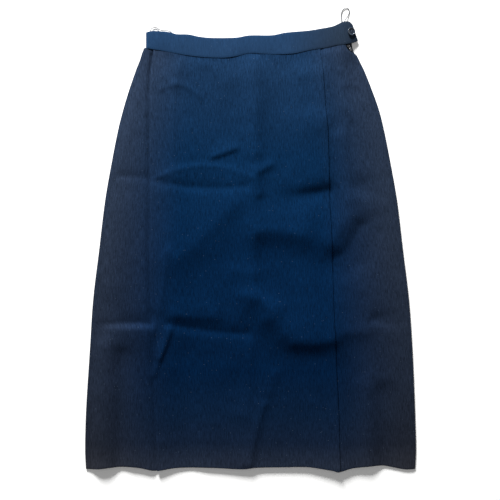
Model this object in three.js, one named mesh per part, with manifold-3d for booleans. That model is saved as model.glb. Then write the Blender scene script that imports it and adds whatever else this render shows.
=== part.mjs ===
// A pencil skirt of navy wool twill, laid flat on its back.
//
// Frame: +X to the right as the skirt is seen from above, +Y towards the waistband, +Z up.
// The origin is on the surface that the skirt lies on, under the middle of its outline.
// All sizes are in millimetres.

import * as THREE from 'three';
import { mergeVertices } from 'three/addons/utils/BufferGeometryUtils.js';
import ManifoldModule from 'manifold-3d';

const wasm = await ManifoldModule();
wasm.setup();

// Driving sizes of the cloth
const CLOTH = 1.2;               // wall of the skirt cloth
const BAND_CLOTH = 2.2;          // wall of the waistband, which is doubled and stiffened
const SEAM_GAP = 0.3;            // between two pieces at a seam, and between front and back
const PLEAT_GAP = 0.4;           // between two layers of a pleat
const LOFT = 1.2;                // how far the front stands off the back between its folds
const LOFT_MAX = 3.6;            // the highest fold of the front over its lowest lie
const SIDE_FADE = 26;            // width along the side seams over which the loft dies away
const WAIST_FADE = 30;           // the same below the waistband
const LAYER = CLOTH + PLEAT_GAP;
const LOWEST = CLOTH + SEAM_GAP + CLOTH / 2;

// The outline and the two pleat edges, one row for each height up the skirt
const SECTIONS = [
  { y: 355, left: -184.0, pleatLeft: -170, pleatRight: 120.0, right: 179.0 },
  { y: 346, left: -185.9, pleatLeft: -170, pleatRight: 121.5, right: 180.6 },
  { y: 337, left: -189.4, pleatLeft: -170, pleatRight: 122.4, right: 184.1 },
  { y: 326, left: -192.9, pleatLeft: -171, pleatRight: 123.7, right: 189.4 },
  { y: 309, left: -199.9, pleatLeft: -173, pleatRight: 126.0, right: 198.1 },
  { y: 274, left: -212.1, pleatLeft: -176, pleatRight: 128.7, right: 212.1 },
  { y: 239, left: -222.6, pleatLeft: -176, pleatRight: 131.2, right: 224.4 },
  { y: 204, left: -231.4, pleatLeft: -176, pleatRight: 134.5, right: 233.1 },
  { y: 151, left: -241.9, pleatLeft: -175.6, pleatRight: 136.5, right: 243.6 },
  { y: 81, left: -254.1, pleatLeft: -175.3, pleatRight: 138.4, right: 255.9 },
  { y: -6, left: -264.6, pleatLeft: -176, pleatRight: 142.6, right: 266.4 },
  { y: -93, left: -275.1, pleatLeft: -174, pleatRight: 144.5, right: 276.9 },
  { y: -181, left: -280.8, pleatLeft: -170, pleatRight: 148.3, right: 283.0 },
  { y: -286, left: -287.4, pleatLeft: -166.5, pleatRight: 153.5, right: 287.4 },
  { y: -356, left: -289.1, pleatLeft: -164, pleatRight: 155.5, right: 289.1 },
  { y: -388, left: -287.6, pleatLeft: -162.8, pleatRight: 156.6, right: 287.6 },
];

// How deep each knife pleat turns under the centre panel
const PLEAT_DEPTH = [
  { y: 355, depth: 38 },
  { y: 150, depth: 40 },
  { y: -6, depth: 33 },
  { y: -388, depth: 26 },
];

// The waist seam, which is also the lower edge of the waistband
const WAIST_SEAM = [
  { x: -184, y: 345.7 },
  { x: -146, y: 339.6 },
  { x: -113, y: 333.5 },
  { x: -80, y: 330.0 },
  { x: -46, y: 329.1 },
  { x: -25, y: 331.7 },
  { x: -3, y: 337.0 },
  { x: 17, y: 336.3 },
  { x: 46, y: 335.2 },
  { x: 76, y: 336.4 },
  { x: 104, y: 342.2 },
  { x: 134, y: 346.9 },
  { x: 148, y: 350.1 },
  { x: 164, y: 352.2 },
  { x: 179, y: 355.3 },
  { x: 189, y: 360.0 },
];

// The upper edge of the waistband, which sweeps up to its tab at the fastening
const WAIST_TOP = [
  { x: -183, y: 373.5 },
  { x: -172, y: 375.8 },
  { x: -161, y: 375.6 },
  { x: -140, y: 373.7 },
  { x: -130, y: 370.6 },
  { x: -108, y: 370.0 },
  { x: -88, y: 366.0 },
  { x: -66, y: 364.3 },
  { x: -24, y: 365.0 },
  { x: -3, y: 368.6 },
  { x: 38, y: 369.0 },
  { x: 60, y: 373.2 },
  { x: 101, y: 376.7 },
  { x: 122, y: 380.0 },
  { x: 144, y: 384.2 },
  { x: 154, y: 388.6 },
  { x: 164, y: 392.2 },
  { x: 173, y: 391.4 },
  { x: 179, y: 385.5 },
];

// The hem, which waves a little and dips at the two pleats
const HEM = [
  { x: -289, y: -388.2 },
  { x: -267, y: -387.4 },
  { x: -246, y: -385.1 },
  { x: -222, y: -383.9 },
  { x: -193, y: -385.9 },
  { x: -172, y: -390.4 },
  { x: -161, y: -390.6 },
  { x: -130, y: -386.0 },
  { x: -66, y: -385.7 },
  { x: -14, y: -387.7 },
  { x: 7, y: -385.4 },
  { x: 60, y: -384.4 },
  { x: 101, y: -384.2 },
  { x: 144, y: -390.3 },
  { x: 154, y: -392.6 },
  { x: 175, y: -386.7 },
  { x: 196, y: -383.9 },
  { x: 229, y: -381.7 },
  { x: 248, y: -384.8 },
  { x: 270, y: -388.8 },
  { x: 289, y: -388.0 },
];

// Creases and soft ridges of the front: from one point to another, bowed to the side,
// half as wide as the table says, risen above the loft or sunk below it
const FOLDS = [
  { x: -170, y: 115, toX: 8, toY: 112, bow: 26, half: 20, rise: 1.0 },
  { x: -172, y: 115, toX: 8, toY: 98, bow: -6, half: 9, rise: -1.6 },
  { x: -242, y: 124, toX: -180, toY: 115, bow: 0, half: 9, rise: -1.0 },
  { x: 56, y: 86, toX: 136, toY: 112, bow: -4, half: 10, rise: -1.4 },
  { x: 186, y: 124, toX: 248, toY: 116, bow: 0, half: 13, rise: 1.2 },
  { x: 184, y: 98, toX: 248, toY: 98, bow: 0, half: 10, rise: -0.9 },
  { x: 3, y: 326, toX: 8, toY: 130, bow: 2, half: 12, rise: 0.9 },
  { x: 8, y: 90, toX: 3, toY: -140, bow: 4, half: 11, rise: 0.8 },
  { x: 8, y: 34, toX: 124, toY: 30, bow: 5, half: 22, rise: 2.0 },
  { x: -36, y: 92, toX: -128, toY: -8, bow: 8, half: 20, rise: 1.3 },
  { x: -128, y: -8, toX: -84, toY: -34, bow: -4, half: 16, rise: 0.8 },
  { x: -140, y: -136, toX: -4, toY: -151, bow: -3, half: 9, rise: -1.7 },
  { x: -140, y: -116, toX: -8, toY: -128, bow: -2, half: 14, rise: 1.0 },
  { x: -276, y: -129, toX: -176, toY: -132, bow: 0, half: 9, rise: -1.4 },
  { x: 10, y: -93, toX: 58, toY: -144, bow: -8, half: 13, rise: 1.6 },
  { x: 58, y: -144, toX: 146, toY: -160, bow: -4, half: 12, rise: 1.5 },
  { x: 150, y: -152, toX: 228, toY: -148, bow: 2, half: 12, rise: 1.4 },
  { x: 232, y: -136, toX: 282, toY: -128, bow: 0, half: 8, rise: -1.3 },
  { x: -138, y: -142, toX: -167, toY: -232, bow: 7, half: 12, rise: 1.3 },
  { x: -64, y: 158, toX: -20, toY: 171, bow: 0, half: 7, rise: 1.1 },
  { x: -144, y: 276, toX: -70, toY: 256, bow: 6, half: 8, rise: 0.9 },
  { x: 210, y: 76, toX: 150, toY: -6, bow: -10, half: 18, rise: 1.3 },
  { x: 34, y: -238, toX: 2, toY: -384, bow: -8, half: 16, rise: 1.2 },
  { x: 30, y: -150, toX: 34, toY: -238, bow: -3, half: 14, rise: 0.8 },
  { x: 250, y: -262, toX: 250, toY: -380, bow: 0, half: 14, rise: 1.1 },
  { x: 146, y: 330, toX: 172, toY: 288, bow: 0, half: 7, rise: 0.9 },
  { x: 158, y: 280, toX: 178, toY: 120, bow: -4, half: 12, rise: 0.8 },
];

// Height of the middle of the waistband's front strip over the surface
const BAND_LIFT = [
  { x: -179, z: 5.7 },
  { x: -150, z: 5.6 },
  { x: -126, z: 5.6 },
  { x: -104, z: 4.7 },
  { x: -70, z: 4.0 },
  { x: 0, z: 3.8 },
  { x: 80, z: 4.0 },
  { x: 118, z: 5.2 },
  { x: 136, z: 5.4 },
  { x: 150, z: 6.2 },
  { x: 162, z: 7.5 },
  { x: 168, z: 7.6 },
  { x: 176, z: 6.3 },
  { x: 189, z: 2.4 },
];

// How far the front's edge is turned back at the top of the side opening
const OPENING_TURN = [
  { y: 355, cut: 14.5 },
  { y: 346, cut: 12.5 },
  { y: 341, cut: 9.5 },
  { y: 337, cut: 4.5 },
  { y: 332, cut: 0.0 },
  { y: 320, cut: 0.0 },
];

// Rows of the mesh down the skirt, closer together where the creases cross it
const ROW_RUNS = [
  { from: 347, to: 326, rows: 4 },
  { from: 326, to: 172, rows: 5 },
  { from: 172, to: 168, rows: 1 },
  { from: 168, to: 150, rows: 1 },
  { from: 150, to: 70, rows: 6 },
  { from: 70, to: -90, rows: 6 },
  { from: -90, to: -190, rows: 6 },
  { from: -190, to: -387, rows: 6 },
];

// Columns of the mesh across each part of a row
const SIDE_COLUMNS = 5;
const PLEAT_COLUMNS = 3;
const CENTRE_COLUMNS = 15;
const BEND_STEPS = 3;
const BACK_COLUMNS = 14;
const BAND_COLUMNS = 34;
const BAND_BACK_COLUMNS = 28;
const BAND_LEVELS = [0, 0.5, 1];
const CORNER_STEPS = 4;

// The centre panel comes down off its pleat this far past the pleat's inner fold
const DESCENT_START = 3;
const DESCENT_END = 20;

// Hidden hems end a little above the front's, and the back's edges lie a little inside its edges
const HIDDEN_HEM = 1.2;
const EDGE_INSET = 0.6;

// The waistband: where it folds and ends, and how far its tab leans outward towards its foot
const BAND = {
  left: -182.6, underEnd: 171, tabTop: 178.6, tabFoot: 187.6, leanPower: 4,
  backZ: BAND_CLOTH / 2, drop: 4.8, crown: 0.35,
};

// The side opening and its zip
const ZIP = {
  bottom: 172, width: 15, thick: 1.0, inset: 1.2, columns: 2,
  slider: { x: 172.0, y: 349.0, width: 5.4, length: 7.6, thick: 2.0, nose: 1.6 },
  bridge: { width: 1.6, length: 4.4, height: 2.4, wall: 0.7, round: 1.0 },
  pull: { length: 8.6, width: 3.8, thick: 0.8, eye: 2.4, bar: 0.8, arm: 0.6, round: 1.1 },
  heading: THREE.MathUtils.degToRad(-58),
};

// The button on the tab
const BUTTON = {
  x: 176.4, y: 374.4, radius: 7, thick: 2.4, rim: 1.3, dish: 0.7, sides: 24,
  hole: 0.9, holeSides: 8, spread: 1.7, tilt: THREE.MathUtils.degToRad(24), clear: 1.1,
};

// The two hanger loops: a thin cord whose ends go in between the layers of the waistband
const LOOP_CORD = { diameter: 1.5, halfSides: 4, steps: 32 };
const LOOP_RIGHT = [
  [160.0, 380.5, 4.8], [159.6, 386.0, 4.8], [159.1, 391.5, 4.7], [158.8, 396.5, 3.4],
  [158.7, 401.5, 1.9], [158.9, 407.0, 1.1], [160.3, 412.2, 0.9], [163.2, 415.8, 0.9],
  [167.2, 417.2, 0.9], [171.0, 416.0, 0.9], [172.8, 412.8, 0.9], [172.5, 409.0, 0.9],
  [170.8, 404.6, 1.2], [168.2, 400.0, 2.2], [165.4, 395.8, 3.7], [163.7, 391.5, 4.7],
  [163.2, 386.0, 4.8], [163.2, 380.5, 4.8],
];
const LOOP_LEFT = [
  [-174.6, 362.0, 3.4], [-174.9, 368.0, 3.4], [-175.1, 373.5, 3.3], [-174.4, 378.4, 2.6],
  [-171.6, 382.0, 1.6], [-167.2, 383.4, 1.1], [-163.0, 382.0, 1.3], [-159.4, 379.3, 2.2],
  [-155.4, 377.5, 3.0], [-150.8, 377.0, 3.3], [-145.6, 376.8, 3.4], [-141.0, 375.8, 3.4],
  [-137.4, 372.8, 3.4], [-135.0, 368.4, 3.4], [-133.6, 363.0, 3.4], [-133.2, 357.0, 3.4],
];

// Colours and surfaces
const WOOL = { color: '#152c48', roughness: 0.92, metalness: 0 };
const WOOL_BAND = { color: '#2a4362', roughness: 0.92, metalness: 0 };
const HORN = { color: '#1b2029', roughness: 0.35, metalness: 0 };
const TAPE = { color: '#1c2430', roughness: 0.85, metalness: 0 };
const NICKEL = { color: '#8d9093', roughness: 0.35, metalness: 1 };
const SATIN = { color: '#26282e', roughness: 0.6, metalness: 0 };

// Points closer than this are one, and two shares closer than this are equal
const WELD = 1e-4;
const ROUNDING = 1e-6;
const CROSSING_PASSES = 3;

const { clamp, lerp, smoothstep } = THREE.MathUtils;

// 0 at both ends of a run and 1 in its middle
const archAt = (share) => 4 * share * (1 - share);

// A table's column as a smooth line through its rows, at any place along it
function along(table, at, key, value) {
  const rows = table[0][key] < table[table.length - 1][key] ? table : [...table].reverse();
  const place = clamp(at, rows[0][key], rows[rows.length - 1][key]);
  let i = 0;
  while (i < rows.length - 2 && place > rows[i + 1][key]) i += 1;
  const span = rows[i + 1][key] - rows[i][key];
  const t = (place - rows[i][key]) / span;
  const slope = (k) => {
    const before = rows[Math.max(k - 1, 0)];
    const after = rows[Math.min(k + 1, rows.length - 1)];
    return (after[value] - before[value]) / (after[key] - before[key]);
  };
  const start = rows[i][value];
  const end = rows[i + 1][value];
  const rising = t * t * (3 - 2 * t);
  const startPull = t * (1 - t) * (1 - t) * span * slope(i);
  const endPull = t * t * (1 - t) * span * slope(i + 1);
  return lerp(start, end, rising) + startPull - endPull;
}

const outline = (y, column) => along(SECTIONS, y, 'y', column);
const pleatDepth = (y) => along(PLEAT_DEPTH, y, 'y', 'depth');
const seamAt = (x) => along(WAIST_SEAM, x, 'x', 'y');
const topAt = (x) => along(WAIST_TOP, x, 'x', 'y');
const hemAt = (x) => along(HEM, x, 'x', 'y');
const bandLift = (x) => along(BAND_LIFT, x, 'x', 'z');

// The folds' height at a point of the front
function foldHeight(x, y) {
  return FOLDS.reduce((sum, fold) => {
    const dx = fold.toX - fold.x;
    const dy = fold.toY - fold.y;
    const length = Math.hypot(dx, dy);
    const share = clamp(((x - fold.x) * dx + (y - fold.y) * dy) / (length * length), 0, 1);
    const swing = fold.bow * archAt(share) / length;
    const nearX = fold.x + share * dx - swing * dy;
    const nearY = fold.y + share * dy + swing * dx;
    const off = Math.hypot(x - nearX, y - nearY);
    return sum + fold.rise * Math.exp(-((off / fold.half) ** 2));
  }, 0);
}

// How high the front lies over its flat place at a point
function loftAt(x, y) {
  const side = Math.min(x - outline(y, 'left'), outline(y, 'right') - x);
  const below = seamAt(x) - y;
  const free = smoothstep(side, 0, SIDE_FADE) * smoothstep(below, 0, WAIST_FADE);
  const nearBand = 1 - smoothstep(below, 0, WAIST_FADE);
  const toBand = Math.max(0, bandLift(x) - BAND_CLOTH - CLOTH / 2 - LAYER);
  return free * clamp(LOFT + foldHeight(x, y), 0, LOFT_MAX) + nearBand * toBand;
}

// Rows of the mesh, each as its share of the way from the waist seam to the hem
const firstLevel = ROW_RUNS[0].from;
const lastLevel = ROW_RUNS[ROW_RUNS.length - 1].to;
const shareOf = (level) => (firstLevel - level) / (firstLevel - lastLevel);
const rowShares = [0, ...ROW_RUNS.flatMap(({ from, to, rows }) =>
  Array.from({ length: rows }, (_, i) => shareOf(lerp(from, to, (i + 1) / rows))))];

const heightOf = (share, x) => lerp(seamAt(x) - SEAM_GAP, hemAt(x), share);
const hiddenHeight = (share, x) => heightOf(share, x) + HIDDEN_HEM * share;

// The x at which a row meets an edge, or one of the sections' columns
function crossing(share, edge) {
  let x = edge(heightOf(share, 0));
  for (let pass = 0; pass < CROSSING_PASSES; pass += 1) x = edge(heightOf(share, x));
  return x;
}

const columnCrossing = (share, column) => crossing(share, (y) => outline(y, column));

// A closed wall between two grids of points: `outer` faces up, or outwards, and `inner` the other way
function wall(rows) {
  const width = rows[0].length;
  const depth = rows.length;
  const positions = [];
  for (const side of ['outer', 'inner']) {
    for (const row of rows) row.forEach((point) => positions.push(...point[side]));
  }
  const outer = (j, i) => j * width + i;
  const inner = (j, i) => depth * width + outer(j, i);
  const faces = [];
  const quad = (a, b, c, d) => faces.push(a, b, c, a, c, d);
  for (let j = 0; j < depth - 1; j += 1) {
    for (let i = 0; i < width - 1; i += 1) {
      quad(outer(j, i), outer(j + 1, i), outer(j + 1, i + 1), outer(j, i + 1));
      quad(inner(j, i), inner(j, i + 1), inner(j + 1, i + 1), inner(j + 1, i));
    }
    quad(outer(j, 0), inner(j, 0), inner(j + 1, 0), outer(j + 1, 0));
    quad(outer(j, width - 1), outer(j + 1, width - 1), inner(j + 1, width - 1), inner(j, width - 1));
  }
  for (let i = 0; i < width - 1; i += 1) {
    quad(outer(0, i), outer(0, i + 1), inner(0, i + 1), inner(0, i));
    quad(outer(depth - 1, i), inner(depth - 1, i), inner(depth - 1, i + 1), outer(depth - 1, i + 1));
  }
  const geometry = new THREE.BufferGeometry();
  geometry.setAttribute('position', new THREE.Float32BufferAttribute(positions, 3));
  geometry.setIndex(faces);
  return geometry;
}

// Stations of a row: x, the height of the wall's middle, and the way its outer face looks
const straight = (fromX, toX, z, facing, steps) => Array.from({ length: steps + 1 }, (_, i) => (
  { x: lerp(fromX, toX, i / steps), z, nx: 0, nz: facing }));

// Several straight runs on end, with a number of columns for each
const runs = (stops, columns, z, facing) => stops.slice(1).flatMap((to, i) =>
  straight(stops[i], to, z, facing, columns[i]).slice(i === 0 ? 0 : 1));

// A half turn round a fold; `side` is the way it bulges, `upwards` whether it climbs,
// and `facing` is 1 where the outer face is on the outside of the turn
function halfTurn(x, z, radius, side, upwards, facing) {
  return Array.from({ length: BEND_STEPS - 1 }, (_, i) => {
    const angle = (upwards ? 1 : -1) * Math.PI * ((i + 1) / BEND_STEPS - 0.5);
    const across = side * Math.cos(angle);
    const up = Math.sin(angle);
    return { x: x + radius * across, z: z + radius * up, nx: facing * across, nz: facing * up };
  });
}

// The wall's outer and inner points at a station
function thicken(station, y, lift, thick) {
  const half = thick / 2;
  return {
    outer: [station.x + station.nx * half, y, station.z + lift + station.nz * half],
    inner: [station.x - station.nx * half, y, station.z + lift - station.nz * half],
  };
}

// The front: side panel, knife pleat, centre panel on top, knife pleat, side panel, in one cloth
function frontStations(share) {
  const radius = LAYER / 2;
  const middle = LOWEST + LAYER;
  const openingEdge = (y) => outline(y, 'right') - along(OPENING_TURN, y, 'y', 'cut');
  const left = columnCrossing(share, 'left') + SEAM_GAP;
  const right = crossing(share, openingEdge) - SEAM_GAP;
  const pleatLeft = columnCrossing(share, 'pleatLeft');
  const pleatRight = columnCrossing(share, 'pleatRight');
  const depth = pleatDepth(heightOf(share, pleatLeft));
  const edge = radius + CLOTH / 2;
  const outerLeft = pleatLeft + edge;
  const outerRight = pleatRight - edge;
  const innerLeft = pleatLeft + depth;
  const innerRight = pleatRight - depth;
  const centreStops = [outerLeft, innerLeft, innerRight, outerRight];
  const centreColumns = [PLEAT_COLUMNS, CENTRE_COLUMNS, PLEAT_COLUMNS];
  const centre = runs(centreStops, centreColumns, 0, 1).map((station) => {
    const pastFold = Math.min(station.x - innerLeft, innerRight - station.x);
    const onTop = 1 - smoothstep(pastFold, DESCENT_START, DESCENT_END);
    return { ...station, z: LOWEST + 2 * LAYER * onTop };
  });
  return [
    ...runs([left, outerLeft, innerLeft], [SIDE_COLUMNS, PLEAT_COLUMNS], LOWEST, 1),
    ...halfTurn(innerLeft, LOWEST + radius, radius, 1, true, -1),
    ...straight(innerLeft, outerLeft, middle, -1, PLEAT_COLUMNS),
    ...halfTurn(outerLeft, middle + radius, radius, -1, true, 1),
    ...centre,
    ...halfTurn(outerRight, middle + radius, radius, 1, false, 1),
    ...straight(outerRight, innerRight, middle, -1, PLEAT_COLUMNS),
    ...halfTurn(innerRight, LOWEST + radius, radius, -1, false, -1),
    ...runs([innerRight, outerRight, right], [PLEAT_COLUMNS, SIDE_COLUMNS], LOWEST, 1),
  ];
}

function frontPanel() {
  const underTop = LOWEST + LAYER + LAYER / 2;
  return wall(rowShares.map((share) => frontStations(share).map((station) => {
    const hidden = station.z < underTop && station.nz < 1 ? HIDDEN_HEM : 0;
    const y = heightOf(share, station.x) + hidden * share;
    return thicken(station, y, loftAt(station.x, y), CLOTH);
  })));
}

// The back, flat on the surface, cut back beside the zip
const openingShare = shareOf(ZIP.bottom) + ROUNDING;
const rightEdge = (share) => columnCrossing(share, 'right') - EDGE_INSET;

function backPanel() {
  return wall(rowShares.map((share) => {
    const left = columnCrossing(share, 'left') + EDGE_INSET;
    const besideZip = share > openingShare ? 0 : ZIP.width + ZIP.inset + SEAM_GAP;
    return straight(left, rightEdge(share) - besideZip, CLOTH / 2, 1, BACK_COLUMNS)
      .map((station) => thicken(station, hiddenHeight(share, station.x), 0, CLOTH));
  }));
}

// The zip's tape, flat beside the back along the side opening
function zipTape() {
  return wall(rowShares.filter((share) => share <= openingShare).map((share, row, all) => {
    const outer = rightEdge(share) - ZIP.inset;
    const end = row === all.length - 1 ? SEAM_GAP : 0;
    return straight(outer - ZIP.width, outer, ZIP.thick / 2, 1, ZIP.columns)
      .map((station) => thicken(station, hiddenHeight(share, station.x) + end, 0, ZIP.thick));
  }));
}

// The waistband: one strip from its end under the tab, round the left side and back to the tab
function waistband() {
  const start = BAND.left + BAND_CLOTH / 2;
  const radius = (bandLift(start) - BAND.backZ) / 2;
  const bendX = start + radius;
  const backZ = (x) => Math.max(BAND.backZ, bandLift(x) - BAND.drop);
  const back = straight(BAND.underEnd, bendX, 0, -1, BAND_BACK_COLUMNS)
    .map((station) => ({ ...station, z: backZ(station.x), lean: 0 }));
  const bend = halfTurn(bendX, BAND.backZ + radius, radius, -1, true, 1)
    .map((station) => ({ ...station, lean: 0 }));
  const front = straight(bendX, BAND.tabTop, 0, 1, BAND_COLUMNS)
    .map((station, i) => ({ ...station, lean: (i / BAND_COLUMNS) ** BAND.leanPower }));
  const stations = [...back, ...bend, ...front];
  return wall(BAND_LEVELS.map((level) => stations.map((station) => {
    const x = station.x + station.lean * (BAND.tabFoot - BAND.tabTop) * level;
    const y = lerp(topAt(station.x), seamAt(x) + SEAM_GAP, level);
    const onFront = station.nz > 0;
    const z = onFront ? bandLift(x) : station.z;
    const crown = onFront ? BAND.crown * archAt(level) : 0;
    return thicken({ ...station, x, z }, y, crown, BAND_CLOTH);
  })));
}

// Joining and cutting closed solids
function solidOf(geometry) {
  const bare = new THREE.BufferGeometry();
  bare.setAttribute('position', geometry.getAttribute('position').clone());
  if (geometry.index) bare.setIndex(geometry.index.clone());
  const merged = mergeVertices(bare, WELD);
  return new wasm.Manifold(new wasm.Mesh({
    numProp: 3,
    vertProperties: new Float32Array(merged.getAttribute('position').array),
    triVerts: new Uint32Array(merged.index.array),
  }));
}

function geometryOf(solid) {
  const { vertProperties, triVerts } = solid.getMesh();
  const geometry = new THREE.BufferGeometry();
  geometry.setAttribute('position', new THREE.Float32BufferAttribute(vertProperties, 3));
  geometry.setIndex([...triVerts]);
  return geometry;
}

// A flat outline given a thickness along Z
const extruded = (shape, depth) => new THREE.ExtrudeGeometry(
  shape, { depth, bevelEnabled: false, curveSegments: CORNER_STEPS });

// The bridge on the zip slider: an arch with rounded shoulders, standing on z = 0
function zipBridge() {
  const { width, length, height, round } = ZIP.bridge;
  const arch = new THREE.Shape();
  arch.moveTo(-length / 2, 0);
  arch.lineTo(length / 2, 0);
  arch.absarc(length / 2 - round, height - round, round, 0, Math.PI / 2);
  arch.absarc(-length / 2 + round, height - round, round, Math.PI / 2, Math.PI);
  const block = extruded(arch, width);
  block.rotateX(Math.PI / 2);
  block.translate(0, width / 2, 0);
  const innerHeight = height - ZIP.bridge.wall;
  const way = new THREE.BoxGeometry(length - 2 * ZIP.bridge.wall, 2 * width, innerHeight);
  way.translate(0, 0, innerHeight / 2);
  return solidOf(block).subtract(solidOf(way));
}

// The zip slider: a plate that narrows to its nose, with a bridge for the pull; +X is down the zip
function zipSlider() {
  const { width, length, thick, nose } = ZIP.slider;
  const body = new THREE.Shape();
  body.moveTo(-length / 2, -width / 2);
  body.lineTo(0, -width / 2);
  body.lineTo(length / 2, -nose);
  body.lineTo(length / 2, nose);
  body.lineTo(0, width / 2);
  body.lineTo(-length / 2, width / 2);
  body.closePath();
  return geometryOf(solidOf(extruded(body, thick)).add(zipBridge().translate([0, 0, thick])));
}

// The zip pull: a rounded tab whose end bar, round the origin, passes under the bridge
function zipPull() {
  const { length, width, thick, eye, bar, arm, round } = ZIP.pull;
  const start = -bar / 2;
  const half = width / 2;
  const tab = new THREE.Shape();
  tab.moveTo(start + round, -half);
  tab.absarc(start + length - round, -half + round, round, -Math.PI / 2, 0);
  tab.absarc(start + length - round, half - round, round, 0, Math.PI / 2);
  tab.absarc(start + round, half - round, round, Math.PI / 2, Math.PI);
  tab.absarc(start + round, -half + round, round, Math.PI, 1.5 * Math.PI);
  const plate = extruded(tab, thick);
  plate.translate(0, 0, -thick / 2);
  const opening = new THREE.BoxGeometry(eye, width - 2 * arm, 2 * thick);
  opening.translate(bar / 2 + eye / 2, 0, 0);
  return geometryOf(solidOf(plate).subtract(solidOf(opening)));
}

// The button: a dished disc with a rounded rim and four holes, its face along Z
function button() {
  const { radius, thick, rim, dish, sides, hole, holeSides, spread } = BUTTON;
  const profile = new THREE.Path();
  profile.moveTo(0, 0);
  profile.lineTo(radius - thick / 2, 0);
  profile.absarc(radius - thick / 2, thick / 2, thick / 2, -Math.PI / 2, Math.PI / 2);
  profile.lineTo(radius - thick / 2 - rim / 2, thick - dish);
  profile.lineTo(0, thick - dish);
  const disc = new THREE.LatheGeometry(profile.getPoints(CORNER_STEPS), sides);
  disc.rotateX(Math.PI / 2);
  let solid = solidOf(disc);
  for (let quarter = 0; quarter < 4; quarter += 1) {
    const turn = Math.PI / 4 + quarter * Math.PI / 2;
    const drill = new THREE.CylinderGeometry(hole, hole, 2 * thick, holeSides);
    drill.rotateX(Math.PI / 2);
    drill.translate(spread * Math.cos(turn), spread * Math.sin(turn), thick / 2);
    solid = solid.subtract(solidOf(drill));
  }
  return geometryOf(solid);
}

// A thin cord along a curve through the given points
function cordTube(points) {
  const { diameter, halfSides, steps } = LOOP_CORD;
  const section = new THREE.Shape();
  section.absarc(0, 0, diameter / 2, 0, 2 * Math.PI);
  const stops = points.map((point) => new THREE.Vector3(...point));
  const path = new THREE.CatmullRomCurve3(stops, false, 'centripetal');
  return new THREE.ExtrudeGeometry(section, {
    steps, extrudePath: path, curveSegments: halfSides, bevelEnabled: false,
  });
}

// The whole skirt
const skirt = new THREE.Group();

function addPiece(name, geometry, finish, parent = skirt) {
  const mesh = new THREE.Mesh(geometry, new THREE.MeshStandardMaterial(finish));
  mesh.name = name;
  parent.add(mesh);
  return mesh;
}

addPiece('back', backPanel(), WOOL);
addPiece('front', frontPanel(), WOOL);
addPiece('waistband', waistband(), WOOL_BAND);
addPiece('zip_tape', zipTape(), TAPE);

// The slider and the pull share the place and turn of the zip's head
const zipHead = new THREE.Group();
zipHead.position.set(ZIP.slider.x, ZIP.slider.y, ZIP.thick + SEAM_GAP);
zipHead.rotation.z = ZIP.heading;
skirt.add(zipHead);
addPiece('zip_slider', zipSlider(), NICKEL, zipHead);
const pull = addPiece('zip_pull', zipPull(), NICKEL, zipHead);
pull.position.set(0, 0, ZIP.slider.thick + (ZIP.bridge.height - ZIP.bridge.wall) / 2);

const onTab = addPiece('button', button(), HORN);
onTab.position.set(BUTTON.x, BUTTON.y, bandLift(BUTTON.x) + BAND_CLOTH / 2 + BUTTON.clear);
onTab.rotation.y = BUTTON.tilt;

addPiece('hanger_loop_left', cordTube(LOOP_LEFT), SATIN);
addPiece('hanger_loop_right', cordTube(LOOP_RIGHT), SATIN);

export default skirt;
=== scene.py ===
"""A navy wool pencil skirt, laid flat on its back on a pale surface.

The cloth pieces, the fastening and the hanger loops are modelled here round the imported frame.
Lengths in the tables and classes are in millimetres, and meshes are made in metres.
"""
from __future__ import annotations

import logging
import math
from dataclasses import dataclass
from enum import Enum
from typing import Any, Callable, NamedTuple, Sequence

import bpy
import numpy as np
from mathutils import Matrix, Vector, noise


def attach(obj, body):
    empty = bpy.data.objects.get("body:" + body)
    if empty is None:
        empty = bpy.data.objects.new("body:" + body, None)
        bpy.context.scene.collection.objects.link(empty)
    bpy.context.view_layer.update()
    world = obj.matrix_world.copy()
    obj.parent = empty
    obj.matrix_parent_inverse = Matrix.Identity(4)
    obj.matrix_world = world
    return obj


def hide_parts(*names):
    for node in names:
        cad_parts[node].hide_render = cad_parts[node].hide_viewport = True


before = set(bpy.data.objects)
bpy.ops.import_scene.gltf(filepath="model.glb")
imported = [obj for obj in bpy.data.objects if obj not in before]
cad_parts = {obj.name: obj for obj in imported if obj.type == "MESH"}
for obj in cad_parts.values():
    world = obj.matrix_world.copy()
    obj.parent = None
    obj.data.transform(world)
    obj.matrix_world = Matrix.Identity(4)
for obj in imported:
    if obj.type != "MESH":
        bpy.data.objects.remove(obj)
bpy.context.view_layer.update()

MM = 0.001
WAVE = math.pi / 10           # a wave texture's scale for one band a metre
SKIRT = "skirt"
PULL = "pull"
log = logging.getLogger("skirt")

Span = tuple[float, float]
Triple = tuple[float, float, float]
Piece = bpy.types.Object
Tree = bpy.types.NodeTree


# Sizes shared by the pieces of cloth

class Section(NamedTuple):
    """One height up the skirt: its outline and its two pleat edges."""

    y: float
    left: float
    pleat_left: float
    pleat_right: float
    right: float


SECTIONS = (
    Section(355, -184.0, -170.0, 120.0, 179.0),
    Section(346, -185.9, -170.0, 121.5, 180.6),
    Section(337, -189.4, -170.0, 122.4, 184.1),
    Section(326, -192.9, -171.0, 123.7, 189.4),
    Section(309, -199.9, -173.0, 126.0, 198.1),
    Section(274, -212.1, -176.0, 128.7, 212.1),
    Section(239, -222.6, -176.0, 131.2, 224.4),
    Section(204, -231.4, -176.0, 134.5, 233.1),
    Section(151, -241.9, -175.6, 136.5, 243.6),
    Section(81, -254.1, -175.3, 138.4, 255.9),
    Section(-6, -264.6, -176.0, 142.6, 266.4),
    Section(-93, -275.1, -174.0, 144.5, 276.9),
    Section(-181, -280.8, -170.0, 148.3, 283.0),
    Section(-286, -287.4, -166.5, 153.5, 287.4),
    Section(-356, -289.1, -164.0, 155.5, 289.1),
    Section(-388, -287.6, -162.8, 156.6, 287.6),
)


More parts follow.
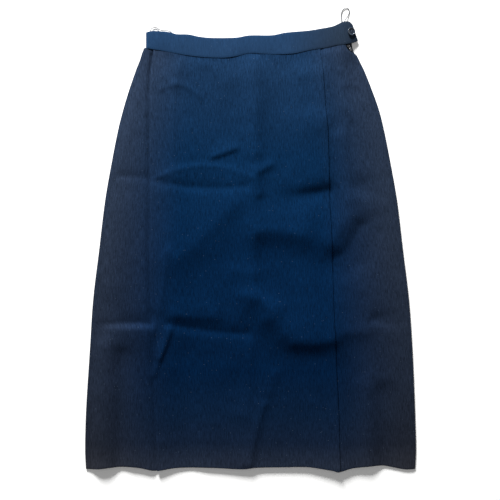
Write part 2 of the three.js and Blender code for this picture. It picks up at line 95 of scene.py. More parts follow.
class Row(NamedTuple):
    """One row of a table of two columns: a place and the value there."""

    at: float
    value: float


WAIST_SEAM = (
    Row(-184, 345.7), Row(-146, 339.6), Row(-113, 333.5), Row(-80, 330.0), Row(-46, 329.1),
    Row(-25, 331.7), Row(-3, 337.0), Row(17, 336.3), Row(46, 335.2), Row(76, 336.4),
    Row(104, 342.2), Row(134, 346.9), Row(148, 350.1), Row(164, 352.2), Row(179, 355.3), Row(189, 360.0),
)
WAIST_TOP = (
    Row(-183, 373.5), Row(-172, 375.8), Row(-161, 375.6), Row(-140, 373.7), Row(-130, 370.6),
    Row(-108, 370.0), Row(-88, 366.0), Row(-66, 364.3), Row(-24, 365.0), Row(-3, 368.6),
    Row(38, 369.0), Row(60, 373.2), Row(101, 376.7), Row(122, 380.0), Row(144, 384.2),
    Row(154, 388.6), Row(164, 392.2), Row(173, 391.4), Row(179, 385.5),
)
HEM = (
    Row(-289, -388.2), Row(-267, -387.4), Row(-246, -385.1), Row(-222, -383.9), Row(-193, -385.9),
    Row(-172, -390.4), Row(-161, -390.6), Row(-130, -386.0), Row(-66, -385.7), Row(-14, -387.7),
    Row(7, -385.4), Row(60, -384.4), Row(101, -384.2), Row(144, -390.3), Row(154, -392.6),
    Row(175, -386.7), Row(196, -383.9), Row(229, -381.7), Row(248, -384.8), Row(270, -388.8),
    Row(289, -388.0),
)
PLEAT_DEPTH = (Row(355, 38), Row(150, 40), Row(-6, 33), Row(-388, 26))
OPENING_TURN = (Row(355, 14.5), Row(346, 12.5), Row(341, 9.5), Row(337, 4.5), Row(332, 0), Row(320, 0))
BAND_LIFT = (
    Row(-179, 5.7), Row(-150, 5.6), Row(-126, 5.6), Row(-104, 4.7), Row(-70, 4.0), Row(0, 3.8),
    Row(50, 4.0), Row(84, 5.0), Row(118, 5.3), Row(136, 5.5), Row(150, 6.2), Row(162, 7.5),
    Row(168, 7.6), Row(176, 6.3), Row(189, 2.4),
)


class Fold(NamedTuple):
    """A crease or soft ridge from one point to another.

    It is bowed to its left, has a half width on either side as one goes along it, rises above
    the cloth or sinks below it, and runs from soft, at sharp 0, to a pressed crease, at sharp 1.
    """

    x: float
    y: float
    to_x: float
    to_y: float
    bow: float
    left: float
    right: float
    rise: float
    sharp: float


STORAGE_CREASES = (
    Fold(-171, 116, 8, 118, 22, 8, 28, 1.5, 0.3),
    Fold(-168, 117, 4, 120, 23, 3.0, 5.0, 0.9, 0.7),
    Fold(-169, 115, -10, 104, -7, 11, 8, -2.5, 0.5),
    Fold(-246, 124, -180, 120, 0, 9, 7, -1.3, 0.4),
    Fold(72, 88, 134, 98, -2, 15, 26, -3.4, 0.2),
    Fold(98, 91, 134, 98, 0, 12, 14, -3.0, 0.4),
    Fold(196, 103, 244, 104, 0, 16, 18, -4.2, 0.2),
    Fold(-276, -135, -230, -136, 0, 8, 6, -1.8, 0.7),
    Fold(-220, -136, -174, -137, 0, 18, 5, -3.4, 0.7),
    Fold(-244, -143, -172, -142, 0, 5, 46, 5.2, 0.1),
    Fold(-144, -136, -6, -153, -3, 13, 8, -3.0, 0.6),
    Fold(-132, -119, -60, -122, 0, 32, 10, 2.8, 0.3),
    Fold(218, -128, 281, -133, 0, 14, 8, -4.8, 0.6),
)
CENTRE_CREASES = (
    Fold(6, 332, 7, 118, 2, 14, 22, 2.2, 0.4),
    Fold(8, 305, 12, 258, 0, 20, 20, 4.0, 0.2),
    Fold(7, 230, 11, 165, 0, 16, 18, 4.0, 0.3),
    Fold(6, 134, 15, 92, 0, 11, 8, 4.4, 0.5),
    Fold(14, 130, 34, 142, 0, 10, 8, 3.4, 0.5),
    Fold(3, 92, 3, -80, 3, 12, 22, 3.0, 0.5),
    Fold(2, -166, -7, -292, 0, 8, 12, 1.7, 0.4),
    Fold(44, -222, 32, -256, 0, 10, 26, 2.4, 0.4),
    Fold(23, -276, -1, -380, -2, 9, 24, 4.0, 0.6),
)
PUFFS = (
    Fold(14, 26, 88, 20, 4, 46, 24, 10.4, 0.45),
    Fold(-28, 76, -126, -20, 4, 36, 46, 6.6, 0.6),
    Fold(-30, -44, 10, -48, 0, 14, 24, 2.6, 0.3),
    Fold(-16, -84, 10, -88, 0, 18, 16, 2.6, 0.5),
    Fold(8, -90, 34, -110, 2, 18, 32, 9.4, 0.5),
    Fold(40, -124, 58, -150, 0, 26, 24, 10.4, 0.5),
    Fold(78, -166, 142, -163, -2, 36, 14, 5.8, 0.4),
    Fold(100, -158, 138, -156, 0, 88, 28, 7.6, 0.2),
    Fold(152, -152, 204, -150, 2, 20, 14, 2.8, 0.5),
    Fold(178, 54, 146, 8, -3, 30, 24, 5.2, 0.2),
    Fold(198, 24, 158, -26, 11, 32, 36, -7.6, 0.3),
    Fold(130, 225, 136, 105, 0, 14, 60, 3.4, 0.2),
    Fold(152, 190, 176, 84, 0, 20, 12, 4.2, 0.3),
)
SMALL_CREASES = (
    Fold(-139, -143, -157, -194, 1, 4, 10, 4.2, 0.7),
    Fold(-158, -198, -168, -226, 0, 4, 8, 2.2, 0.7),
    Fold(-172, -118, -158, -160, 0, 7, 7, -2.0, 0.5),
    Fold(-154, 274, -133, 282, 2, 6, 5, 1.3, 0.5),
    Fold(-127, 283, -88, 262, 3, 6, 5, 1.5, 0.5),
    Fold(-66, 156, -24, 171, 0, 13, 4.5, 3.2, 0.7),
    Fold(-112, 318, -26, 300, 4, 14, 20, 1.4, 0.3),
    Fold(164, 283, 186, 281, 0, 6, 6, 1.2, 0.5),
    Fold(-26, -290, -8, -300, 0, 10, 12, 1.2, 0.2),
)
LENGTHWISE = (
    Fold(-208, 310, -228, 150, 0, 34, 56, 3.0, 0.1),
    Fold(-119, 330, -134, 250, -3, 6, 9, 1.4, 0.5),
    Fold(-134, 240, -134, 140, 0, 5, 6, 1.4, 0.5),
    Fold(-145, -13, -157, -111, 0, 7, 8, 1.6, 0.4),
    Fold(-232, 70, -238, -62, 0, 32, 28, 3.0, 0.1),
    Fold(132, 343, 153, 303, -2, 9, 12, 2.2, 0.6),
    Fold(152, 336, 170, 292, -2, 12, 8, 1.6, 0.5),
    Fold(156, 288, 174, 223, -3, 10, 9, 2.0, 0.5),
    Fold(174, 223, 180, 104, 0, 9, 8, -1.2, 0.3),
    Fold(122, 300, 133, 215, 0, 16, 40, 3.6, 0.3),
    Fold(-116, -196, -120, -380, 0, 36, 32, -4.4, 0.1),
    Fold(-256, -176, -261, -384, 0, 24, 18, 6.0, 0.1),
    Fold(-224, -190, -229, -384, 0, 16, 14, -3.0, 0.1),
    Fold(206, -246, 208, -384, 0, 18, 20, 3.4, 0.1),
    Fold(228, -262, 234, -384, 0, 30, 24, -2.8, 0.1),
    Fold(214, -222, 240, -232, 0, 14, 12, 1.2, 0.3),
    Fold(150, -190, 157, -384, 0, 20, 18, 2.6, 0.2),
)
FOLDS = STORAGE_CREASES + CENTRE_CREASES + PUFFS + SMALL_CREASES + LENGTHWISE


class Grain(NamedTuple):
    """Unevenness all over the cloth: the size of its lumps and their height."""

    size: float
    height: float


UNEVENNESS = (Grain(95.0, 1.2), Grain(38.0, 0.35), Grain(14.0, 0.07))


class Track:
    """A smooth line through the rows of a table."""

    def __init__(self, rows: Sequence[Row]) -> None:
        """Sorts the rows and works out the slope at each.

        Args:
            rows: the places and the values there.
        """
        ordered = sorted(rows)
        self.at = np.array([row[0] for row in ordered], float)
        self.values = np.array([row[1] for row in ordered], float)
        after = np.minimum(np.arange(len(ordered)) + 1, len(ordered) - 1)
        before = np.maximum(np.arange(len(ordered)) - 1, 0)
        self.slopes = (self.values[after] - self.values[before]) / (self.at[after] - self.at[before])

    def __call__(self, at: np.ndarray | float) -> np.ndarray:
        """Reads the line.

        Args:
            at: one place or many.

        Returns:
            The values there.
        """
        place = np.clip(at, self.at[0], self.at[-1])
        i = np.clip(np.searchsorted(self.at, place, side="right") - 1, 0, len(self.at) - 2)
        span = self.at[i + 1] - self.at[i]
        t = (place - self.at[i]) / span
        rising = t * t * (3 - 2 * t)
        pulls = t * (1 - t) ** 2 * self.slopes[i] - t * t * (1 - t) * self.slopes[i + 1]
        return self.values[i] + (self.values[i + 1] - self.values[i]) * rising + span * pulls


def smooth(value: np.ndarray | float, low: float, high: float) -> np.ndarray:
    """Goes smoothly from 0 at low to 1 at high."""
    t = np.clip((np.asarray(value, float) - low) / (high - low), 0, 1)
    return t * t * (3 - 2 * t)


@dataclass
class SkirtForm:
    """The lie of the skirt: its edges, and the height of its front over the surface."""

    lowest: float = 1.85          # middle of the front's cloth where it lies flat
    loft: float = 3.8             # how far the front stands off the back between its folds
    loft_max: float = 20.0
    hollow_ease: float = 0.5      # how softly a hollow flattens out on the cloth below
    side_fade: float = 52.0
    right_ease: float = 1.6       # how much more gently the cloth falls to its right edge
    waist_fade: float = 26.0
    free_share: float = 0.4       # share of the fades in which folds grow to their full height
    fold_end: float = 1.1         # how far a fold runs on past its ends, in half widths
    press_rate: float = 1.6       # how fast a pressed crease falls off beside its line
    press_tip: float = 0.012      # how much the top of a pressed crease is rounded
    hem_turn: float = 55.0        # depth of the turned-up hem
    hem_step: float = 7.0
    hem_lift: float = 0.25        # what the turned-up hem adds under the front
    pleat_top: float = 1.6        # what a pleat's layers add under the waistband
    pleat_rise: Span = (-9.0, 5.0)    # how far in from a pleat's edge they come to their height
    pleat_fall: Span = (40.0, 80.0)   # and how far in they end
    pleat_dip: float = 3.0        # how far the cloth dips where it goes in under the left pleat edge
    dip_half: float = 5.5
    dip_start: Span = (2.0, 10.0)     # how far below the waist seam it begins
    seam_drop: float = 0.3        # from the middle of the waistband down to the front where it enters
    band_cover: float = 2.0       # how far in under the waistband the front keeps its height
    painted_sheen_span: Span = (0.45, 1.05)    # from where to where the painted sheen that greys the sides comes in

    def __post_init__(self) -> None:
        """Makes a track of each column of the tables."""
        def column(name: str) -> Track:
            """A track of one column of the sections."""
            return Track([Row(section.y, getattr(section, name)) for section in SECTIONS])

        self.left = column("left")
        self.right = column("right")
        self.pleat_left = column("pleat_left")
        self.pleat_right = column("pleat_right")
        self.seam = Track(WAIST_SEAM)
        self.top = Track(WAIST_TOP)
        self.hem = Track(HEM)
        self.pleat_depth = Track(PLEAT_DEPTH)
        self.opening_turn = Track(OPENING_TURN)
        self.band_lift = Track(BAND_LIFT)

    def height(self, share: np.ndarray, x: np.ndarray) -> np.ndarray:
        """How high up the skirt a row lies at some x: share is 0 at the waist seam and 1 at the hem."""
        seam = self.seam(x)
        return seam + (self.hem(x) - seam) * share

    def side_share(self, points: np.ndarray) -> np.ndarray:
        """How far points are on the way from the middle of the skirt to its side seams: the mask of the
        painted sheen that greys the sides.
        """
        left, right = self.left(points[:, :, 1]), self.right(points[:, :, 1])
        return smooth(np.abs(2 * points[:, :, 0] - left - right) / (right - left), *self.painted_sheen_span)

    def crossing(self, share: np.ndarray, edge: Callable[[np.ndarray], np.ndarray]) -> np.ndarray:
        """Finds where rows meet an edge.

        Args:
            share: the rows.
            edge: the edge's x at any height.

        Returns:
            The x of each meeting.
        """
        x = edge(self.height(share, np.zeros_like(share)))
        for _ in range(4):
            x = edge(self.height(share, x))
        return x

    def folds(self, x: np.ndarray, y: np.ndarray) -> np.ndarray:
        """Adds up the creases and ridges at points of the front.

        Args:
            x: the x of each point.
            y: the y of each point.

        Returns:
            The height that the folds add, in millimetres.
        """
        total = np.zeros(np.broadcast(x, y).shape)
        for fold in FOLDS:
            run = np.array([fold.to_x - fold.x, fold.to_y - fold.y])
            length = float(np.hypot(*run))
            tx, ty = run / length
            ahead = ((x - fold.x) * tx + (y - fold.y) * ty) / length
            share = np.clip(ahead, 0, 1)
            off = (y - fold.y) * tx - (x - fold.x) * ty - 4 * fold.bow * share * (1 - share)
            past = (ahead - share) * length
            half = np.where(off > 0, fold.left, fold.right)
            end = self.fold_end * min(fold.left, fold.right)
            far = (off / half) ** 2 + (past / end) ** 2
            drop = np.sqrt(far + self.press_tip) - math.sqrt(self.press_tip)
            pressed = np.exp(-self.press_rate * drop)
            total += fold.rise * ((1 - fold.sharp) * np.exp(-far) + fold.sharp * pressed)
        return total

    def unevenness(self, x: np.ndarray, y: np.ndarray) -> np.ndarray:
        """Adds up the small lumps and hollows at points of the front.

        Args:
            x: the x of each point.
            y: the y of each point.

        Returns:
            The height that they add, in millimetres.
        """
        total = np.zeros(x.shape)
        for grain in UNEVENNESS:
            places = zip((x / grain.size).ravel(), (y / grain.size).ravel())
            lumps = [noise.noise(Vector((across, along, grain.size))) for across, along in places]
            total += grain.height * np.reshape(lumps, x.shape)
        return total

    def lift(self, x: np.ndarray, y: np.ndarray) -> np.ndarray:
        """Works out how high the front lies over its flat place.

        Args:
            x: the x of each point.
            y: the y of each point.

        Returns:
            The height of each point over the lowest lie of its layer.
        """
        side = np.minimum(x - self.left(y), (self.right(y) - x) / self.right_ease)
        below = self.seam(x) - y
        above_hem = y - self.hem(x)
        inside = np.minimum(x - self.pleat_left(y), self.pleat_right(y) - x)
        layers = self.pleat_top * smooth(inside, *self.pleat_rise) * (1 - smooth(inside, *self.pleat_fall))
        to_band = np.maximum(0, self.band_lift(x) - self.seam_drop - self.lowest - layers)
        near_band = 1 - smooth(below, -self.band_cover, 2 * self.waist_fade)
        hem_ends = smooth(above_hem, self.hem_turn - self.hem_step, self.hem_turn + self.hem_step)
        loft = self.loft * smooth(side, 0, self.side_fade) * smooth(below, 0, 2 * self.waist_fade)
        off_side = smooth(side, 0, self.free_share * self.side_fade)
        off_waist = smooth(below, 0, self.free_share * self.waist_fade)
        lie = loft + off_side * off_waist * (self.folds(x, y) + self.unevenness(x, y))
        eased = 0.5 * (lie + np.sqrt(lie * lie + self.hollow_ease))
        lofted = self.loft_max * np.tanh(eased / self.loft_max)
        return lofted + near_band * to_band + self.hem_lift * (1 - hem_ends)

    def dip(self, x: np.ndarray, y: np.ndarray) -> np.ndarray:
        """How far the cloth that turns under the left pleat's edge sinks below that edge."""
        edge = (x - self.pleat_left(y)) / self.dip_half
        return self.pleat_dip * smooth(self.seam(x) - y, *self.dip_start) * np.exp(-edge * edge)


FORM = SkirtForm()


# Small tools for operators and modifiers

def deselect() -> None:
    """Leaves nothing selected."""
    if bpy.context.object and bpy.context.object.mode != "OBJECT":
        bpy.ops.object.mode_set(mode="OBJECT")
    bpy.ops.object.select_all(action="DESELECT")


def only(piece: Piece) -> None:
    """Selects one object alone and makes it active.

    Args:
        piece: the object.
    """
    deselect()
    piece.select_set(True)
    bpy.context.view_layer.objects.active = piece


def added(name: str) -> Piece:
    """Names the primitive that an operator has just added.

    Args:
        name: the name for the object and its mesh.

    Returns:
        The object.
    """
    piece = bpy.context.object
    piece.name = name
    piece.data.name = name
    return piece


def finished(piece: Piece) -> Piece:
    """Puts an object's place into its mesh, so that the object sits at the origin unturned.

    Args:
        piece: the object.

    Returns:
        The same object.
    """
    only(piece)
    bpy.ops.object.transform_apply(location=True, rotation=True, scale=True)
    return piece


def modify(piece: Piece, kind: str, **settings: Any) -> Piece:
    """Adds a modifier and applies it.

    Args:
        piece: the object.
        kind: the modifier's type.
        settings: its properties.

    Returns:
        The same object.
    """
    only(piece)
    modifier = piece.modifiers.new(kind.title(), kind)
    for key, value in settings.items():
        setattr(modifier, key, value)
    bpy.ops.object.modifier_apply(modifier=modifier.name)
    return piece


def merge(piece: Piece, tool: Piece, operation: str) -> Piece:
    """Joins a solid to another, or cuts it with it, and uses up the other one.

    Args:
        piece: the solid that stays.
        tool: the one that is used up.
        operation: UNION or DIFFERENCE.

    Returns:
        The solid that stays.
    """
    modify(piece, "BOOLEAN", object=tool, operation=operation, solver="EXACT")
    bpy.data.objects.remove(tool)
    return piece


def round_edges(piece: Piece, width: float, segments: int, angle: float | None = None) -> Piece:
    """Rounds an object's edges.

    Args:
        piece: the object.
        width: the width of the rounding, in millimetres.
        segments: how many faces it has.
        angle: the least turn, in degrees, of the edges that are rounded, or None for 30.

    Returns:
        The same object.
    """
    limit = {"limit_method": "ANGLE", "angle_limit": math.radians(angle)} if angle else {}
    return modify(piece, "BEVEL", width=width * MM, segments=segments, **limit)


def shade(piece: Piece, angle: float) -> Piece:
    """Shades an object smooth, apart from its sharper edges.

    Args:
        piece: the object.
        angle: the turn, in degrees, past which an edge stays sharp.

    Returns:
        The same object.
    """
    only(piece)
    bpy.ops.object.shade_smooth_by_angle(angle=math.radians(angle))
    return piece


def joined(pieces: Sequence[Piece], name: str) -> Piece:
    """Joins objects into the first one.

    Args:
        pieces: the objects.
        name: the name for the result.

    Returns:
        The first object, which now holds all of them.
    """
    deselect()
    for piece in pieces:
        piece.select_set(True)
    bpy.context.view_layer.objects.active = pieces[0]
    bpy.ops.object.join()
    return added(name)


def block(name: str, size: Triple, at: Triple = (0.0, 0.0, 0.0)) -> Piece:
    """Adds a block.

    Args:
        name: the object's name.
        size: its length, width and thickness, in millimetres.
        at: the place of its middle, in millimetres.

    Returns:
        The block, with its size and place in its mesh.
    """
    deselect()
    bpy.ops.mesh.primitive_cube_add(
        size=1, location=tuple(v * MM for v in at), scale=tuple(v * MM for v in size))
    return finished(added(name))


def ring(name: str, radius: float, wire: float, sides: int, at: Triple, stretch: Triple) -> Piece:
    """Adds a ring that stands upright along x.

    Args:
        name: the object's name.
        radius: from its middle to the middle of its wire, in millimetres.
        wire: the radius of the wire, in millimetres.
        sides: how many faces the wire has round it.
        at: the place of its middle, in millimetres.
        stretch: how much it is stretched along x, y and z.

    Returns:
        The ring, with its size and place in its mesh.
    """
    deselect()
    bpy.ops.mesh.primitive_torus_add(
        major_segments=28, minor_segments=sides, major_radius=radius * MM, minor_radius=wire * MM,
        location=tuple(v * MM for v in at), rotation=(math.radians(90), 0, 0))
    piece = added(name)
    bpy.ops.transform.resize(value=stretch)
    return finished(piece)


def cloth_grid(name: str, points: np.ndarray, cloth: np.ndarray, side: np.ndarray | None) -> Piece:
    """Adds a grid and lays it along rows of points.

    Args:
        name: the object's name.
        points: rows of points from the top down, in millimetres, shaped (rows, columns, 3).
        cloth: where each point lies on the flat cloth, in millimetres, shaped (rows, columns, 2).
        side: how far each point is on the way from the middle to a side, shaped (rows, columns).

    Returns:
        The sheet, with the flat cloth's metres in its UV map.
    """
    rows, columns = points.shape[:2]
    deselect()
    bpy.ops.mesh.primitive_grid_add(x_subdivisions=columns - 1, y_subdivisions=rows - 1, size=1)
    piece = added(name)
    mesh = piece.data
    start = np.zeros(len(mesh.vertices) * 3)
    mesh.vertices.foreach_get("co", start)
    start = start.reshape(-1, 3)
    column = np.rint((start[:, 0] + 0.5) * (columns - 1)).astype(int)
    row = np.rint((0.5 - start[:, 1]) * (rows - 1)).astype(int)
    mesh.vertices.foreach_set("co", (points[row, column] * MM).ravel())
    corner = np.zeros(len(mesh.loops), int)
    mesh.loops.foreach_get("vertex_index", corner)
    mesh.uv_layers.active.uv.foreach_set("vector", (cloth[row, column] * MM)[corner].ravel())
    if side is not None:
        share = mesh.attributes.new("side_share", "FLOAT", "POINT")
        share.data.foreach_set("value", side[row, column].ravel())
    mesh.update()
    return piece


def flat_places(points: np.ndarray) -> np.ndarray:
    """Measures along the rows and columns of a sheet, so that the weave keeps its real size.

    Args:
        points: the sheet's points, shaped (rows, columns, 3).

    Returns:
        Where each lies on the flat cloth, from the middle of the top, shaped (rows, columns, 2).
    """
    across = np.linalg.norm(np.diff(points, axis=1), axis=2)
    u = np.concatenate([np.zeros((len(points), 1)), np.cumsum(across, axis=1)], axis=1)
    middle = points.shape[1] // 2
    u -= u[:, middle:middle + 1]
    down = np.linalg.norm(np.diff(points, axis=0), axis=2).mean(axis=1)
    v = np.concatenate([[0], np.cumsum(down)])
    return np.stack([u, np.broadcast_to(-v[:, None], u.shape)], axis=2)


def laid(name: str, points: np.ndarray, thick: float, side: np.ndarray | None = None) -> Piece:
    """Lays a cloth along rows of points and gives it its thickness.

    Args:
        name: the object's name.
        points: the middle of the cloth, in millimetres, shaped (rows, columns, 3).
        thick: its thickness in millimetres.
        side: how far each point is on the way from the middle to a side, or None.

    Returns:
        The closed cloth.
    """
    piece = cloth_grid(name, points, flat_places(points), side)
    return modify(piece, "SOLIDIFY", thickness=thick * MM, offset=0)


# Finishes

def linear(code: str) -> tuple[float, float, float, float]:
    """Turns a colour to linear.

    Args:
        code: the sRGB hex colour.

    Returns:
        Its linear red, green and blue, and an alpha of 1.
    """
    channels = [int(code[i:i + 2], 16) / 255 for i in (1, 3, 5)]
    red, green, blue = (c / 12.92 if c <= 0.04045 else ((c + 0.055) / 1.055) ** 2.4 for c in channels)
    return red, green, blue, 1.0


def add_node(tree: Tree, kind: str, inputs: dict[Any, Any] | None = None, **settings: Any) -> Any:
    """Adds a node, sets its properties, and sets or links its inputs.

    Args:
        tree: the node tree.
        kind: the node's type.
        inputs: a value or an output socket for each input, by name or index.
        settings: the node's own properties.

    Returns:
        The node.
    """
    node = tree.nodes.new(kind)
    for key, value in settings.items():
        setattr(node, key, value)
    for key, value in (inputs or {}).items():
        if isinstance(value, bpy.types.NodeSocket):
            tree.links.new(value, node.inputs[key])
        else:
            node.inputs[key].default_value = value
    return node


def set_ramp(node: Any, stops: Sequence[tuple[float, str]]) -> Any:
    """Gives a colour ramp its stops.

    Args:
        node: the colour ramp.
        stops: the place and the sRGB hex colour of each.

    Returns:
        The ramp's colour.
    """
    ramp = node.color_ramp
    while len(ramp.elements) > 1:
        ramp.elements.remove(ramp.elements[-1])
    ramp.elements[0].position, ramp.elements[0].color = stops[0][0], linear(stops[0][1])
    for position, colour in stops[1:]:
        ramp.elements.new(position).color = linear(colour)
    return node.outputs["Color"]


def new_material(name: str) -> tuple[bpy.types.Material, Tree]:
    """Makes an empty node material.

    Args:
        name: its name.

    Returns:
        The material and its node tree.
    """
    material = bpy.data.materials.new(name)
    material.use_nodes = True
    material.node_tree.nodes.clear()
    return material, material.node_tree


def give_surface(tree: Tree, inputs: dict[str, Any]) -> None:
    """Ends a material in one shader with the given inputs."""
    shader = add_node(tree, "ShaderNodeBsdfPrincipled", inputs)
    add_node(tree, "ShaderNodeOutputMaterial", {"Surface": shader.outputs[0]})


class Cut(Enum):
    """Which piece a wool cloth dresses: the band has its own lighter tone, which is painted light for the
    brighter top of the skirt.
    """

    PANEL = "panel"
    BAND = "band"


class Tone(NamedTuple):
    """A colour of the cloth at a share of the way from the hem to the top of the skirt: the tones are painted
    light, lighter towards the top, and painted shade, darker towards the hem.
    """

    level: float
    colour: str


@dataclass(frozen=True)
class WoolTwill:
    """Worsted wool twill, woven and pressed.

    It looks matt, with fine upright streaks where the warp shows, slanting ribs, and a few paler fibres.
    Its tones are painted light and shade, lighter towards the top and darker towards the hem, with a painted
    sheen that greys it towards its sides.
    """

    cut: Cut
    middle: tuple[Tone, ...]
    side: tuple[Tone, ...]
    contrast: float = 1.5
    reach: float = 390.0          # from the origin to the hem and to the top
    # The real rib and yarn are about 0.5 mm wide, and are drawn two or three times as coarse to show
    rib_pitch: float = 1.1
    rib_lean: float = 27.0
    rib_weight: float = 0.35
    streak: Span = (1.7, 16.0)    # width and length
    yarn: Span = (1.1, 6.0)
    yarn_weight: float = 0.9
    blotch: float = 38.0
    blotch_weight: float = 0.2
    average: float = 1.05         # what the noises add up to on average
    fleck_spacing: float = 7.0
    fleck_size: Span = (0.04, 0.12)    # where a fibre starts to fade and where it ends, in spacings
    fleck_choice: float = 0.62    # past this a place has a paler fibre
    fleck_strength: float = 0.2
    fleck_colour: str = "#6f8297"

    def painted_light_colour(self, tree: Tree) -> Any:
        """Mixes the colour of the middle and of the sides at each height: painted light and shade by height,
        and a painted sheen towards the sides.

        Args:
            tree: the node tree.

        Returns:
            The colour before the weave.
        """
        place = add_node(tree, "ShaderNodeTexCoord").outputs["Object"]
        height = add_node(tree, "ShaderNodeSeparateXYZ", {0: place}).outputs["Y"]
        level = add_node(tree, "ShaderNodeMapRange", {
            "Value": height, "From Min": -self.reach * MM, "From Max": self.reach * MM}).outputs["Result"]
        middle, side = (set_ramp(add_node(tree, "ShaderNodeValToRGB", {"Fac": level}), tones)
                        for tones in (self.middle, self.side))
        share = add_node(tree, "ShaderNodeAttribute", attribute_name="side_share").outputs["Fac"]
        return add_node(tree, "ShaderNodeMix", {
            "Factor": share, 6: middle, 7: side}, data_type="RGBA").outputs[2]

    def strands(self, tree: Tree, cloth: Any, size: Span, rough: float) -> Any:
        """Draws noise out along the warp.

        Args:
            tree: the node tree.
            cloth: the place on the flat cloth.
            size: the width and length of a strand.
            rough: the roughness of the noise.

        Returns:
            The noise.
        """
        width, length = size
        place = add_node(tree, "ShaderNodeMapping", {
            "Vector": cloth, "Scale": (1 / (width * MM), 1 / (length * MM), 1)})
        return add_node(tree, "ShaderNodeTexNoise", {
            "Vector": place.outputs[0], "Scale": 1.0, "Detail": 2.0, "Roughness": rough}).outputs["Fac"]

    def flecked(self, tree: Tree, cloth: Any, colour: Any) -> Any:
        """Adds the paler fibres.

        Args:
            tree: the node tree.
            cloth: the place on the flat cloth.
            colour: the colour without them.

        Returns:
            The colour with them.
        """
        cells = add_node(tree, "ShaderNodeTexVoronoi", {
            "Vector": cloth, "Scale": 1 / (self.fleck_spacing * MM)})
        full, gone = self.fleck_size
        near = add_node(tree, "ShaderNodeMapRange", {
            "Value": cells.outputs["Distance"], "From Min": full, "From Max": gone,
            "To Min": 1.0, "To Max": 0.0}).outputs["Result"]
        chosen = add_node(tree, "ShaderNodeMath", {
            0: cells.outputs["Color"], 1: self.fleck_choice}, operation="GREATER_THAN").outputs[0]
        fleck = add_node(tree, "ShaderNodeMath", {0: near, 1: chosen}, operation="MULTIPLY").outputs[0]
        pale = add_node(tree, "ShaderNodeMath", {0: fleck, 1: self.fleck_strength}, operation="MULTIPLY")
        return add_node(tree, "ShaderNodeMix", {
            "Factor": pale.outputs[0], 6: colour, 7: linear(self.fleck_colour)}, data_type="RGBA").outputs[2]

    def material(self) -> bpy.types.Material:
        """Builds the node material.

        Returns:
            The material.
        """
        material, tree = new_material(f"wool_twill_{self.cut.value}")
        cloth = add_node(tree, "ShaderNodeUVMap").outputs["UV"]
        streaks = self.strands(tree, cloth, self.streak, 0.6)
        yarns = self.strands(tree, cloth, self.yarn, 0.7)
        blotches = add_node(tree, "ShaderNodeTexNoise", {
            "Vector": cloth, "Scale": 1 / (self.blotch * MM), "Detail": 3.0,
            "Roughness": 0.55}).outputs["Fac"]
        woven = add_node(tree, "ShaderNodeMath", {
            0: yarns, 1: self.yarn_weight, 2: streaks}, operation="MULTIPLY_ADD").outputs[0]
        mixed = add_node(tree, "ShaderNodeMath", {
            0: blotches, 1: self.blotch_weight, 2: woven}, operation="MULTIPLY_ADD").outputs[0]
        tone = add_node(tree, "ShaderNodeMath", {0: mixed, 1: self.average}, operation="SUBTRACT").outputs[0]
        strength = add_node(tree, "ShaderNodeMath", {
            0: tone, 1: self.contrast, 2: 1.0}, operation="MULTIPLY_ADD").outputs[0]
        toned = add_node(tree, "ShaderNodeVectorMath", {
            0: self.painted_light_colour(tree), "Scale": strength}, operation="SCALE").outputs[0]
        slanted = add_node(tree, "ShaderNodeMapping", {
            "Vector": cloth, "Rotation": (0, 0, math.radians(self.rib_lean))}).outputs[0]
        ribs = add_node(tree, "ShaderNodeTexWave", {
            "Vector": slanted, "Scale": WAVE / (self.rib_pitch * MM), "Distortion": 1.2,
            "Detail": 1.0, "Detail Scale": 0.4}, wave_type="BANDS", bands_direction="X").outputs["Fac"]
        relief = add_node(tree, "ShaderNodeMath", {
            0: ribs, 1: self.rib_weight, 2: streaks}, operation="MULTIPLY_ADD").outputs[0]
        bump = add_node(tree, "ShaderNodeBump", {"Height": relief, "Strength": 0.35, "Distance": 0.25 * MM})
        give_surface(tree, {
            "Base Color": self.flecked(tree, cloth, toned), "Roughness": 0.88, "Normal": bump.outputs[0],
            "Specular IOR Level": 0.015, "Sheen Weight": 0.003, "Sheen Roughness": 0.45,
            "Sheen Tint": linear("#8fa3bd")})
        return material


@dataclass(frozen=True)
class PolishedButton:
    """Dark polyester button, cast and tumbled: glossy, with a faint cloud in it."""

    dark: str = "#1b2634"
    cloud: str = "#35404e"
    cloud_size: float = 4.0

    def material(self) -> bpy.types.Material:
        """Builds the node material.

        Returns:
            The material.
        """
        material, tree = new_material("polyester_button")
        place = add_node(tree, "ShaderNodeTexCoord").outputs["Object"]
        clouds = add_node(tree, "ShaderNodeTexNoise", {
            "Vector": place, "Scale": 1 / (self.cloud_size * MM), "Detail": 4.0, "Distortion": 1.5})
        ramp = add_node(tree, "ShaderNodeValToRGB", {"Fac": clouds.outputs["Fac"]})
        give_surface(tree, {
            "Base Color": set_ramp(ramp, [(0.35, self.dark), (0.75, self.cloud)]),
            "Roughness": 0.22, "Coat Weight": 0.4, "Coat Roughness": 0.1})
        return material


@dataclass(frozen=True)
class WovenTape:
    """Polyester zip tape, closely woven: matt, with a herringbone of fine threads."""

    colour: str = "#1a212c"
    thread: str = "#333c49"
    pitch: float = 0.9            # drawn twice as coarse as the real thread, to show

    def material(self) -> bpy.types.Material:
        """Builds the node material.

        Returns:
            The material.
        """
        material, tree = new_material("polyester_tape")
        cloth = add_node(tree, "ShaderNodeUVMap").outputs["UV"]
        threads = add_node(tree, "ShaderNodeTexWave", {
            "Vector": cloth, "Scale": WAVE / (self.pitch * MM), "Distortion": 0.4},
            wave_type="BANDS", bands_direction="DIAGONAL").outputs["Fac"]
        ramp = add_node(tree, "ShaderNodeValToRGB", {"Fac": threads})
        bump = add_node(tree, "ShaderNodeBump", {"Height": threads, "Strength": 0.4, "Distance": 0.15 * MM})
        give_surface(tree, {
            "Base Color": set_ramp(ramp, [(0.2, self.colour), (0.9, self.thread)]),
            "Roughness": 0.8, "Normal": bump.outputs[0]})
        return material


